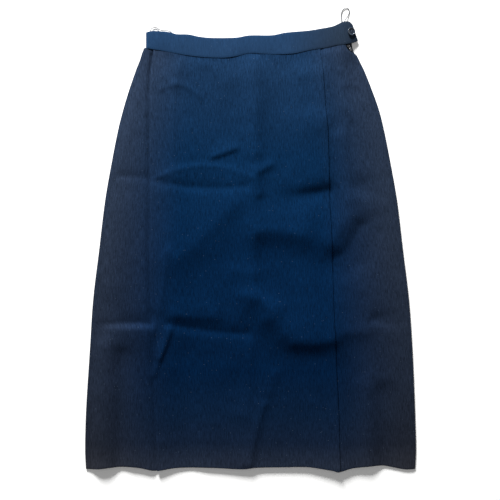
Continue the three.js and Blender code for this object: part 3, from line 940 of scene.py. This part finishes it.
@dataclass(frozen=True)
class NickelPlate:
    """Zinc die casting with nickel plate: bright, softly rubbed where fingers touch it."""

    colour: str = "#7d7f83"
    rub_size: float = 0.8

    def material(self) -> bpy.types.Material:
        """Builds the node material.

        Returns:
            The material.
        """
        material, tree = new_material("nickel_plated_zinc")
        place = add_node(tree, "ShaderNodeTexCoord").outputs["Object"]
        rub = add_node(tree, "ShaderNodeTexNoise", {
            "Vector": place, "Scale": 1 / (self.rub_size * MM), "Detail": 5.0}).outputs["Fac"]
        rough = add_node(tree, "ShaderNodeMapRange", {
            "Value": rub, "To Min": 0.22, "To Max": 0.46}).outputs["Result"]
        give_surface(tree, {"Base Color": linear(self.colour), "Metallic": 1.0, "Roughness": rough})
        return material


@dataclass(frozen=True)
class TwistedThread:
    """Twisted viscose or sewing thread: a soft silky gloss on each strand."""

    name: str
    colour: str
    light: str
    fibre: float = 0.5            # drawn many times as coarse as the real fibres, to show

    def material(self) -> bpy.types.Material:
        """Builds the node material.

        Returns:
            The material.
        """
        material, tree = new_material(self.name)
        place = add_node(tree, "ShaderNodeTexCoord").outputs["Object"]
        fibres = add_node(tree, "ShaderNodeTexNoise", {
            "Vector": place, "Scale": 1 / (self.fibre * MM), "Detail": 3.0}).outputs["Fac"]
        ramp = add_node(tree, "ShaderNodeValToRGB", {"Fac": fibres})
        bump = add_node(tree, "ShaderNodeBump", {"Height": fibres, "Strength": 0.3, "Distance": 0.1 * MM})
        give_surface(tree, {
            "Base Color": set_ramp(ramp, [(0.3, self.colour), (0.75, self.light)]),
            "Roughness": 0.5, "Normal": bump.outputs[0], "Sheen Weight": 0.3, "Sheen Roughness": 0.4})
        return material


class Finishes:
    """Every material of the skirt, made once."""

    def __init__(self) -> None:
        """Makes the materials."""
        # The panel's tones are painted light and shade, lighter towards the waist and darker towards the hem,
        # with a painted sheen greying the sides.
        self.panel = WoolTwill(
            Cut.PANEL,
            middle=(Tone(0.01, "#202837"), Tone(0.06, "#101c2f"), Tone(0.12, "#091b32"),
                    Tone(0.22, "#021833"), Tone(0.50, "#031d3a"), Tone(0.70, "#06223f"),
                    Tone(0.90, "#132a45")),
            side=(Tone(0.01, "#26282f"), Tone(0.06, "#1c2029"), Tone(0.20, "#1d2431"),
                  Tone(0.50, "#212937"), Tone(0.90, "#242f41"))).material()
        # The band's lighter tone is painted light for the brighter top of the skirt, and its side tone is a
        # painted sheen towards the tab.
        self.band = WoolTwill(
            Cut.BAND, middle=(Tone(0.5, "#1d3552"),), side=(Tone(0.5, "#222d3b"),), contrast=0.7).material()
        self.button = PolishedButton().material()
        self.tape = WovenTape().material()
        self.nickel = NickelPlate().material()
        self.loop = TwistedThread("viscose_loop_cord", "#24262c", "#5a5d64").material()
        self.thread = TwistedThread("sewing_thread", "#16243a", "#33496a").material()


def dress(piece: Piece, material: bpy.types.Material, body: str = SKIRT) -> Piece:
    """Gives a piece its finish.

    Args:
        piece: the piece.
        material: its material.
        body: the body that the piece rides on.

    Returns:
        The same piece.
    """
    piece.data.materials.clear()
    piece.data.materials.append(material)
    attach(piece, body)
    return piece


# The pieces of cloth

class Stations(NamedTuple):
    """Where the cloth runs across each row, and which way its outer face looks: (rows, columns)."""

    x: np.ndarray
    z: np.ndarray
    nx: np.ndarray
    nz: np.ndarray


def straight(from_x: np.ndarray, to_x: np.ndarray, z: np.ndarray, facing: float, columns: int) -> Stations:
    """Runs the cloth flat across each row.

    Args:
        from_x: the x of its start in each row.
        to_x: the x of its end.
        z: its height.
        facing: 1 where its outer face looks up and -1 where it looks down.
        columns: how many parts the run has.

    Returns:
        The stations of the run, with its two ends.
    """
    share = np.linspace(0, 1, columns + 1)[None, :]
    x = from_x[:, None] + (to_x - from_x)[:, None] * share
    flat = np.ones_like(x)
    return Stations(x, z[:, None] * flat, 0 * flat, facing * flat)


def half_turn(x: np.ndarray, z: np.ndarray, radius: np.ndarray, side: int, upwards: bool, facing: int,
              steps: int = 6) -> Stations:
    """Folds the cloth across each row.

    Args:
        x: the middle of the turn.
        z: the height of its middle.
        radius: its radius.
        side: the way it bulges, 1 to the right.
        upwards: whether the cloth climbs through it.
        facing: 1 where the cloth's outer face is outside the turn.
        steps: how many parts the turn has.

    Returns:
        The stations inside the turn, without its two ends.
    """
    way = 1 if upwards else -1
    angle = (way * math.pi * (np.arange(1, steps) / steps - 0.5))[None, :]
    across = side * np.cos(angle) * np.ones_like(x)[:, None]
    up = np.sin(angle) * np.ones_like(x)[:, None]
    return Stations(x[:, None] + radius[:, None] * across, z[:, None] + radius[:, None] * up,
                    facing * across, facing * up)


def side_by_side(parts: Sequence[Stations]) -> Stations:
    """Joins runs and folds across the rows, leaving out a station that two flat runs share.

    Args:
        parts: the runs and folds, in order.

    Returns:
        The stations of all of them.
    """
    kept: list[Stations] = []
    for part in parts:
        flat_join = bool(kept) and kept[-1].nx[0, -1] == 0 and part.nx[0, 0] == 0
        kept.append(Stations(*(column[:, 1:] for column in part)) if flat_join else part)
    return Stations(*(np.concatenate(columns, axis=1) for columns in zip(*kept)))


def near_ends(x: np.ndarray, reach: float) -> np.ndarray:
    """How near points are to the ends of their rows: 1 at an end, and 0 past a reach in millimetres."""
    return 1 - smooth(np.minimum(x - x[:, :1], x[:, -1:] - x), 0, reach)


@dataclass
class FrontPanel:
    """The front, in one cloth: side panel, knife pleat, centre panel on top, pleat, side panel."""

    material: bpy.types.Material
    thick: float = 0.7
    rows: int = 190
    side_columns: int = 26
    pleat_columns: int = 9
    centre_columns: int = 78
    tuck: float = 5.0             # how far its top goes in under the waistband
    tuck_left: float = -180.0     # how far left the tucked part reaches
    layer: float = 0.9            # from one layer of a pleat to the next
    layer_waist: float = 0.8      # the same at the waist
    layer_fade: Span = (4.0, 34.0)
    descent: Span = (2.0, 42.0)   # where the centre panel comes down inside the pleats
    side_drop: float = 0.8        # how far its sides go down to the back
    side_reach: float = 5.0
    dip_share: float = 0.8        # the most of its own lift that the cloth can dip
    hem_radius: float = 0.4
    hem_steps: int = 5
    hem_inside: float = 14.0      # how far the built part of the turned-up hem goes up inside
    hem_rows: tuple[float, ...] = (0.3, 0.65, 1.0)

    def stations(self, share: np.ndarray) -> Stations:
        """Runs the cloth across each row, with no folds but the pleats in it.

        Args:
            share: the rows, from 0 at the waist seam to 1 at the hem.

        Returns:
            The stations of the panels and of both pleats.
        """
        form = FORM
        down = form.seam(0) - form.height(share, np.zeros_like(share))
        near_waist = 1 - smooth(down, *self.layer_fade)
        first = self.layer + (self.layer_waist - self.layer) * near_waist
        second = 2 * first
        low = np.full_like(share, form.lowest)
        left = form.crossing(share, form.left)
        right = form.crossing(share, lambda y: form.right(y) - form.opening_turn(y))
        pleat_left = form.crossing(share, form.pleat_left)
        pleat_right = form.crossing(share, form.pleat_right)
        depth = form.pleat_depth(form.height(share, pleat_left))
        lower, upper = first / 2, (second - first) / 2
        outer_left = pleat_left + upper + self.thick / 2
        outer_right = pleat_right - upper - self.thick / 2
        inner_left, inner_right = pleat_left + depth, pleat_right - depth
        middle = straight(inner_left, inner_right, low, 1, self.centre_columns)
        past = np.minimum(middle.x - inner_left[:, None], inner_right[:, None] - middle.x)
        raised = (1 - smooth(past, *self.descent)) * second[:, None]
        return side_by_side([
            straight(left, outer_left, low, 1, self.side_columns),
            straight(outer_left, inner_left, low, 1, self.pleat_columns),
            half_turn(inner_left, low + lower, lower, 1, True, -1),
            straight(inner_left, outer_left, low + first, -1, self.pleat_columns),
            half_turn(outer_left, low + first + upper, upper, -1, True, 1),
            straight(outer_left, inner_left, low + second, 1, self.pleat_columns),
            middle._replace(z=middle.z + raised),
            straight(inner_right, outer_right, low + second, 1, self.pleat_columns),
            half_turn(outer_right, low + first + upper, upper, 1, False, 1),
            straight(outer_right, inner_right, low + first, -1, self.pleat_columns),
            half_turn(inner_right, low + lower, lower, -1, False, -1),
            straight(inner_right, outer_right, low, 1, self.pleat_columns),
            straight(outer_right, right, low, 1, self.side_columns),
        ])

    def hem(self, edge: np.ndarray, out: np.ndarray) -> np.ndarray:
        """Turns the cloth under at the hem.

        Args:
            edge: the points of the last row, shaped (columns, 3).
            out: the way the outer face looks at each of them.

        Returns:
            The rows of the turned part, shaped (rows, columns, 3).
        """
        turned = []
        for angle in np.linspace(0, math.pi, self.hem_steps + 1)[1:]:
            forward = np.array([0, -self.hem_radius * math.sin(angle), 0])
            turned.append(edge + forward - out * self.hem_radius * (1 - math.cos(angle)))
        inner = turned[-1]
        turned += [inner + np.array([0, share * self.hem_inside, 0]) for share in self.hem_rows]
        return np.array(turned)

    def build(self) -> Piece:
        """Lays the cloth, turns up its hem and gives it its thickness.

        Returns:
            The dressed panel.
        """
        form = FORM
        share = np.linspace(0, 1, self.rows)
        run = self.stations(share)
        y = form.height(share[:, None], run.x)
        drop = self.side_drop * near_ends(run.x, self.side_reach)
        lift = form.lift(run.x, y)
        under = 1 - smooth(run.z - form.lowest, self.layer, 2 * self.layer)
        dip = under * np.minimum(form.dip(run.x, y), self.dip_share * lift)
        points = np.stack([run.x, y, run.z + lift - dip - drop], axis=2)
        tucked = points[:1].repeat(2, axis=0)
        tucked[:, :, 0] = np.maximum(tucked[:, :, 0], self.tuck_left)
        tucked[:, :, 1] += self.tuck * np.array([1.0, 0.5])[:, None]
        out = np.stack([run.nx[-1], 0 * run.nx[-1], run.nz[-1]], axis=1)
        turned = self.hem(points[-1], out)
        points[-1, :, 1] += self.hem_radius
        points = np.concatenate([tucked, points, turned])
        piece = shade(laid("front_panel", points, self.thick, form.side_share(points)), 60)
        dress(piece, self.material)
        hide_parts("front")
        return piece


@dataclass
class BackPanel:
    """The back, one plain cloth flat on the surface, cut back beside the zip."""

    material: bpy.types.Material
    thick: float = 0.7
    rows: int = 120
    columns: int = 70
    inset: float = 0.8            # how far its sides stay inside those of the front
    hem_inset: float = 1.0
    zip_room: float = 16.5
    zip_foot: Span = (170.0, 176.0)
    side_rise: float = 0.25       # how far its sides come up to the front
    side_reach: float = 4.0

    def build(self) -> Piece:
        """Lays the cloth and gives it its thickness.

        Returns:
            The dressed panel.
        """
        form = FORM
        share = np.linspace(0, 1, self.rows)
        left = form.crossing(share, form.left) + self.inset
        right = form.crossing(share, form.right) - self.inset
        beside = smooth(form.height(share, right), *self.zip_foot)
        low = np.full_like(share, self.thick / 2)
        run = straight(left, right - self.zip_room * beside, low, 1, self.columns)
        y = form.height(share[:, None], run.x) + self.hem_inset * share[:, None]
        rise = self.side_rise * near_ends(run.x, self.side_reach)
        points = np.stack([run.x, y, run.z + rise], axis=2)
        piece = shade(laid("back_panel", points, self.thick, form.side_share(points)), 60)
        dress(piece, self.material)
        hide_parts("back")
        return piece


@dataclass
class Waistband:
    """The waistband: a stiffened strip round the left side that ends in a leaning tab."""

    material: bpy.types.Material
    thick: float = 2.0
    columns: int = 150
    levels: int = 9
    left: float = -182.6
    under_end: float = 171.0      # where its back half ends, under the tab
    tab_top: float = 178.6
    tab_foot: float = 187.6
    lean_power: int = 4           # how late on its way to the tab the strip begins to lean
    back_z: float = 1.05
    drop: float = 4.8             # from its front half down to its back half
    crown: float = 0.45
    ripple: Span = (0.18, 9.3)    # height and length of its fine ripples
    drift: Span = (1.2, 31.0)     # how far those drift from an even spacing, and over what length
    pucker: Span = (0.15, 23.0)
    pucker_slant: float = 4.0
    top_share: float = 0.3        # how much of the pucker is left at its top edge
    # where the painted sheen that greys the band towards its tab comes in
    painted_sheen_span: Span = (40.0, 180.0)

    def run(self) -> Stations:
        """Runs the strip along the back, round the side and along the front to the tab.

        Returns:
            The stations, in one row.
        """
        form = FORM
        one = np.ones(1)
        start = self.left + self.thick / 2
        radius = (float(form.band_lift(start)) - self.back_z) / 2
        bend_x = start + radius
        back = straight(self.under_end * one, bend_x * one, 0 * one, -1, self.columns // 2)
        back = back._replace(z=np.maximum(self.back_z, form.band_lift(back.x) - self.drop))
        bend = half_turn(bend_x * one, (self.back_z + radius) * one, radius * one, -1, True, 1, steps=8)
        front = straight(bend_x * one, self.tab_top * one, 0 * one, 1, self.columns)
        front = front._replace(z=form.band_lift(front.x))
        return Stations(*(np.concatenate(part, axis=1) for part in zip(back, bend, front)))

    def build(self) -> Piece:
        """Gives the strip its depth, its crown and its pucker, and leans its tab.

        Returns:
            The dressed waistband.
        """
        form = FORM
        run = self.run()
        lean = np.zeros_like(run.x)
        lean[:, -self.columns - 1:] = np.linspace(0, 1, self.columns + 1) ** self.lean_power
        level = np.linspace(0, 1, self.levels)[:, None]
        x = run.x + lean * (self.tab_foot - self.tab_top) * level
        top, foot = form.top(run.x), form.seam(x)
        y = top + (foot - top) * level
        on_front = np.broadcast_to(run.nz == 1, x.shape)
        drift = self.drift[0] * np.sin(x / self.drift[1])
        ripple = self.ripple[0] * np.sin(x / self.ripple[1] + drift)
        pucker = self.pucker[0] * np.sin(x / self.pucker[1] + self.pucker_slant * level)
        uneven = (ripple + pucker) * (self.top_share + level)
        shaped = form.band_lift(x) + self.crown * 4 * level * (1 - level) + uneven
        points = np.stack([x, y, np.where(on_front, shaped, run.z)], axis=2)
        piece = laid("waistband_strip", points, self.thick, smooth(x, *self.painted_sheen_span))
        shade(round_edges(piece, 0.7, 3, 60), 50)
        dress(piece, self.material)
        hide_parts("waistband")
        return piece


# The fastening

@dataclass
class TabButton:
    """The button on the tab, with its four holes and the thread through them."""

    button: bpy.types.Material
    thread: bpy.types.Material
    x: float = 175.2
    y: float = 374.4
    radius: float = 7.0
    thick: float = 2.4
    rim: float = 1.5
    dish: float = 0.8
    dish_slope: float = 0.5
    rounding: float = 0.55
    hole: float = 0.85
    spread: float = 1.7           # from its middle to each hole
    square: float = 0.707         # the share of that which lies along x, and along y
    strand: float = 0.17          # radius of the thread
    strands: tuple[float, ...] = (-0.28, 0.0, 0.28)
    sunk: float = 0.45            # how far the middle of the stitches lies under the dish
    tilt: float = 22.0
    half_tab: float = 1.1         # a little over half the thickness of the tab
    clear: float = 0.7

    def place(self) -> Matrix:
        """Works out where the button lies on the tab.

        Returns:
            Its place and tilt, in metres.
        """
        z = float(FORM.band_lift(self.x)) + self.half_tab + self.clear
        tilted = Matrix.Rotation(math.radians(self.tilt), 4, "Y")
        return Matrix.Translation(Vector((self.x, self.y, z)) * MM) @ tilted

    def disc(self) -> Piece:
        """Turns, dishes and drills the button.

        Returns:
            The button, lying at the origin.
        """
        deselect()
        bpy.ops.mesh.primitive_cylinder_add(
            vertices=64, radius=self.radius * MM, depth=self.thick * MM, location=(0, 0, self.thick / 2 * MM))
        piece = added("tab_button")
        bpy.ops.object.mode_set(mode="EDIT")
        bpy.ops.mesh.select_mode(type="FACE")
        bpy.ops.mesh.select_all(action="DESELECT")
        bpy.ops.object.mode_set(mode="OBJECT")
        for face in piece.data.polygons:
            face.select = face.normal.z > 0.9
        bpy.ops.object.mode_set(mode="EDIT")
        bpy.ops.mesh.inset(thickness=self.rim * MM)
        bpy.ops.mesh.inset(thickness=self.dish_slope * MM, depth=-self.dish * MM)
        bpy.ops.object.mode_set(mode="OBJECT")
        round_edges(piece, self.rounding, 4, 35)
        for quarter in range(4):
            turn = math.pi / 4 + quarter * math.pi / 2
            deselect()
            bpy.ops.mesh.primitive_cylinder_add(
                vertices=20, radius=self.hole * MM, depth=4 * self.thick * MM,
                location=(self.spread * MM * math.cos(turn), self.spread * MM * math.sin(turn), 0))
            merge(piece, added("drill"), "DIFFERENCE")
        return shade(piece, 35)

    def stitches(self) -> Piece:
        """Sews the thread across the holes.

        Returns:
            The thread, over the button at the origin.
        """
        beside = self.spread * self.square
        height = self.thick - self.dish - self.sunk
        strands = []
        for side in (-1, 1):
            for off in self.strands:
                at = (0, side * beside + off, height)
                strands.append(ring("button_strand", beside, self.strand, 8, at, (1, 1, 0.75)))
        return shade(joined(strands, "button_thread"), 60)

    def build(self) -> list[Piece]:
        """Makes the button and its thread and sets them on the tab.

        Returns:
            The button and the thread.
        """
        pieces = [self.disc(), self.stitches()]
        for piece in pieces:
            piece.matrix_world = self.place() @ piece.matrix_world
            finished(piece)
        dress(pieces[0], self.button)
        dress(pieces[1], self.thread)
        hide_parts("button")
        return pieces


@dataclass
class SideZip:
    """The side zip: its tape, the closed chain of teeth, the slider and the pull that swings on it."""

    tape: bpy.types.Material
    nickel: bpy.types.Material
    width: float = 15.0
    inset: float = 2.0
    tuck: float = 3.0             # how far its top goes in under the waistband
    bottom: float = 173.0
    tape_z: float = 0.5
    tape_thick: float = 0.8
    tooth: Triple = (2.4, 0.8, 0.7)
    tooth_z: float = 1.2
    tooth_pitch: float = 1.5
    tooth_side: float = 0.5       # how far each tooth stands off the middle of the chain
    chain_ends: Span = (8.0, 4.0)  # how far the chain stays inside the seam and the end of the tape
    head: Span = (172.0, 349.0)
    heading: float = -58.0
    base: float = 1.3             # height of the slider's underside over the surface
    body: Triple = (7.6, 5.4, 2.0)
    nose: float = 0.6             # width of the slider's nose as a share of its mouth
    bridge: Span = (1.78, 0.42)   # radius of the bridge and of its wire
    bridge_stretch: Triple = (1.0, 1.9, 1.09)
    bar_height: float = 4.15      # height of the bar on which the pull swings
    tab: Triple = (8.6, 3.8, 0.8)
    tab_middle: float = 3.9
    eye: Triple = (2.4, 2.6, 4.0)
    eye_middle: float = 1.6

    def edge(self, y: np.ndarray) -> np.ndarray:
        """The x of the tape's outer edge."""
        return FORM.right(y) - self.inset

    def tape_piece(self) -> Piece:
        """Lays the tape beside the back.

        Returns:
            The dressed tape.
        """
        y = np.linspace(float(FORM.seam(self.head[0])) + self.tuck, self.bottom, 60)
        outer = self.edge(y)
        run = straight(outer - self.width, outer, np.full_like(y, self.tape_z), 1, 6)
        points = np.stack([run.x, np.broadcast_to(y[:, None], run.x.shape), run.z], axis=2)
        piece = shade(laid("zip_tape_woven", points, self.tape_thick), 50)
        dress(piece, self.tape)
        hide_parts("zip_tape")
        return piece

    def teeth(self) -> Piece:
        """Models one tooth and sets copies of it down the middle of the tape, from both sides.

        Returns:
            The dressed chain.
        """
        tooth = round_edges(block("tooth", self.tooth), 0.18, 2)
        below_seam, above_end = self.chain_ends
        spots = np.arange(float(FORM.seam(self.head[0])) - below_seam, self.bottom + above_end,
                          -self.tooth_pitch)
        middle = self.edge(spots) - self.width / 2
        slope = np.gradient(middle, spots)
        copies = []
        for i, (x, y, lean) in enumerate(zip(middle, spots, slope)):
            copy = tooth.copy()
            copy.data = tooth.data.copy()
            bpy.context.scene.collection.objects.link(copy)
            side = self.tooth_side if i % 2 else -self.tooth_side
            copy.matrix_world = (Matrix.Translation(Vector((x + side, y, self.tooth_z)) * MM)
                                 @ Matrix.Rotation(-math.atan(lean), 4, "Z"))
            copies.append(copy)
        bpy.data.objects.remove(tooth)
        piece = finished(joined(copies, "zip_teeth"))
        return dress(shade(piece, 40), self.tape)

    def at_head(self, piece: Piece) -> Piece:
        """Moves a piece to the zip's head.

        Args:
            piece: the piece, made along +X from the origin.

        Returns:
            The same piece.
        """
        turn = Matrix.Rotation(math.radians(self.heading), 4, "Z")
        head = Matrix.Translation(Vector((*self.head, self.base)) * MM)
        piece.matrix_world = head @ turn @ piece.matrix_world
        return finished(piece)

    def slider(self) -> Piece:
        """Shapes the slider from a block: narrowed to its nose, rounded, with a bridge on it.

        Returns:
            The dressed slider.
        """
        body = block("slider_body", self.body, (0, 0, self.body[2] / 2))
        for vertex in body.data.vertices:
            if vertex.co.x > 0:
                vertex.co.y *= self.nose
        round_edges(body, 0.5, 3)
        bridge = ring("slider_bridge", *self.bridge, 10, (0, 0, self.body[2]), self.bridge_stretch)
        merge(body, bridge, "UNION")
        body.name = "zip_slider_cast"
        shade(self.at_head(body), 40)
        dress(body, self.nickel)
        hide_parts("zip_slider")
        return body

    def pull(self) -> Piece:
        """Shapes the pull: a tab with an eye whose end bar passes under the bridge.

        Returns:
            The dressed pull.
        """
        tab = block("zip_pull_tab", self.tab, (self.tab_middle, 0, 0))
        merge(tab, round_edges(block("eye", self.eye, (self.eye_middle, 0, 0)), 0.5, 3), "DIFFERENCE")
        round_edges(tab, 0.28, 2, 40)
        tab.matrix_world = Matrix.Translation((0, 0, (self.bar_height - self.base) * MM)) @ tab.matrix_world
        shade(self.at_head(finished(tab)), 40)
        dress(tab, self.nickel, PULL)
        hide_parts("zip_pull")
        return tab

    def build(self) -> list[Piece]:
        """Makes the whole zip."""
        return [self.tape_piece(), self.teeth(), self.slider(), self.pull()]


def lengths_along(line: np.ndarray) -> np.ndarray:
    """How far along a line each of its points lies."""
    return np.concatenate([[0], np.cumsum(np.linalg.norm(np.diff(line, axis=0), axis=1))])


@dataclass
class HangerLoop:
    """A hanger loop of thin twisted cord, its ends sewn in between the layers of the waistband."""

    name: str
    node: str
    route: Sequence[Triple]
    material: bpy.types.Material
    diameter: float = 1.5
    strands: int = 3
    strand_radius: float = 0.25   # as a share of the cord's diameter
    strand_offset: float = 0.27   # from the middle of the cord, as a share of its diameter
    pitch: float = 5.0
    step: float = 0.6

    def centre(self) -> np.ndarray:
        """Draws a smooth line through the route.

        Returns:
            Points about a step apart, in millimetres, shaped (points, 3).
        """
        given = np.array(self.route)
        chord = lengths_along(given)
        tracks = [Track([Row(c, v) for c, v in zip(chord, given[:, k])]) for k in range(3)]
        at = np.linspace(0, chord[-1], int(chord[-1] / self.step))
        return np.stack([track(at) for track in tracks], axis=1)

    def strand(self, route: np.ndarray) -> Piece:
        """Makes one strand of the cord.

        Args:
            route: the points of its middle, in millimetres.

        Returns:
            The strand as a mesh.
        """
        curve = bpy.data.curves.new(self.name, "CURVE")
        curve.dimensions = "3D"
        curve.bevel_depth = self.strand_radius * self.diameter * MM
        curve.bevel_resolution = 2
        curve.use_fill_caps = True
        spline = curve.splines.new("POLY")
        spline.points.add(len(route) - 1)
        spline.points.foreach_set("co", np.c_[route * MM, np.ones(len(route))].ravel())
        piece = bpy.data.objects.new(self.name, curve)
        bpy.context.scene.collection.objects.link(piece)
        only(piece)
        bpy.ops.object.convert(target="MESH")
        return bpy.context.object

    def build(self) -> Piece:
        """Returns:
            The dressed loop.
        """
        line = self.centre()
        along = lengths_along(line)
        ahead = np.gradient(line, axis=0)
        ahead /= np.linalg.norm(ahead, axis=1)[:, None]
        sideways = np.cross(ahead, [0, 0, 1.0])
        sideways /= np.linalg.norm(sideways, axis=1)[:, None]
        upwards = np.cross(sideways, ahead)
        offset = self.strand_offset * self.diameter
        pieces = []
        for strand in range(self.strands):
            turn = 2 * math.pi * (along / self.pitch + strand / self.strands)
            round_line = np.cos(turn)[:, None] * sideways + np.sin(turn)[:, None] * upwards
            pieces.append(self.strand(line + offset * round_line))
        cord = shade(joined(pieces, self.name), 60)
        dress(cord, self.material)
        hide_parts(self.node)
        return cord


LOOP_RIGHT = (
    (160.0, 380.5, 4.8), (159.6, 386.0, 4.8), (159.1, 391.5, 4.7), (158.8, 396.5, 3.4),
    (158.7, 401.5, 1.9), (158.9, 407.0, 1.1), (160.3, 412.2, 0.9), (163.2, 415.8, 0.9),
    (167.2, 417.2, 0.9), (171.0, 416.0, 0.9), (172.8, 412.8, 0.9), (172.5, 409.0, 0.9),
    (170.8, 404.6, 1.2), (168.2, 400.0, 2.2), (165.4, 395.8, 3.7), (163.7, 391.5, 4.7),
    (163.2, 386.0, 4.8), (163.2, 380.5, 4.8),
)
LOOP_LEFT = (
    (-174.6, 362.0, 3.4), (-174.9, 368.0, 3.4), (-175.1, 373.5, 3.3), (-174.4, 378.4, 2.6),
    (-171.6, 382.0, 1.6), (-167.2, 383.4, 1.1), (-163.0, 382.0, 1.3), (-159.4, 379.3, 2.2),
    (-155.4, 377.5, 3.0), (-150.8, 377.0, 3.3), (-145.6, 376.8, 3.4), (-141.0, 375.8, 3.4),
    (-137.4, 372.8, 3.4), (-135.0, 368.4, 3.4), (-133.6, 363.0, 3.4), (-133.2, 357.0, 3.4),
)


# The surface, the light and the camera

@dataclass
class Studio:
    """A pale floor, soft light from above the waistband and to the left, and a camera overhead."""

    floor_colour: str = "#f4f4f3"
    frame_width: float = 875.0
    centre: Span = (-0.9, -6.0)
    camera_height: float = 1650.0
    sensor: float = 36.0
    floor_drop: float = 0.4       # how far the floor lies under the skirt
    floor_size: float = 8.0       # in metres
    ambient: float = 0.13

    def floor(self) -> None:
        """Lays the floor just under the skirt."""
        deselect()
        bpy.ops.mesh.primitive_plane_add(size=self.floor_size, location=(0, 0, -self.floor_drop * MM))
        piece = added("floor")
        material, tree = new_material("matt_paper")
        give_surface(tree, {
            "Base Color": linear(self.floor_colour), "Roughness": 0.9, "Specular IOR Level": 0.1,
            "Emission Color": (1, 1, 1, 1), "Emission Strength": 0.12})
        piece.data.materials.append(material)

    def light(self, name: str, place: Triple, size: float, power: float) -> None:
        """Adds a square soft light that looks at the skirt.

        Args:
            name: its name.
            place: where it hangs, in metres.
            size: the length of its side, in metres.
            power: its power in watts.
        """
        deselect()
        bpy.ops.object.light_add(type="AREA", location=place)
        lamp = bpy.context.object
        lamp.name = name
        lamp.data.shape = "SQUARE"
        lamp.data.size = size
        lamp.data.energy = power
        lamp.rotation_euler = (-Vector(place)).to_track_quat("-Z", "Y").to_euler()

    def camera(self) -> None:
        """Hangs the camera over the skirt, framed as in the photograph."""
        deselect()
        place = tuple(v * MM for v in (*self.centre, self.camera_height))
        bpy.ops.object.camera_add(location=place)
        camera = bpy.context.object
        camera.data.sensor_width = self.sensor
        camera.data.lens = self.sensor * self.camera_height / self.frame_width
        bpy.context.scene.camera = camera

    def build(self) -> None:
        """Sets up the camera, floor, lamps and surrounding light."""
        self.camera()
        self.floor()
        self.light("key", place=(-1.0, 3.45, 1.56), size=1.0, power=450)
        self.light("top", place=(0.0, 0.1, 2.6), size=2.4, power=7)
        world = bpy.data.worlds.new("studio")
        bpy.context.scene.world = world
        world.use_nodes = True
        background = world.node_tree.nodes["Background"]
        background.inputs["Color"].default_value = (1, 1, 1, 1)
        background.inputs["Strength"].default_value = self.ambient
        bpy.context.scene.view_settings.view_transform = "Standard"


def main() -> None:
    """Builds the studio and then the skirt, and writes how large it came out."""
    logging.basicConfig(level=logging.INFO, format="%(name)s: %(message)s")
    Studio().build()
    finishes = Finishes()
    loops = (
        HangerLoop("hanger_loop_left_cord", "hanger_loop_left", LOOP_LEFT, finishes.loop),
        HangerLoop("hanger_loop_right_cord", "hanger_loop_right", LOOP_RIGHT, finishes.loop),
    )
    builders = (
        *loops,
        FrontPanel(finishes.panel),
        BackPanel(finishes.panel),
        Waistband(finishes.band),
        TabButton(finishes.button, finishes.thread),
        SideZip(finishes.tape, finishes.nickel),
    )
    for builder in builders:
        made = builder.build()
        for piece in made if isinstance(made, list) else [made]:
            log.info("%s has %d faces", piece.name, len(piece.data.polygons))


if __name__ == "__main__":
    main()
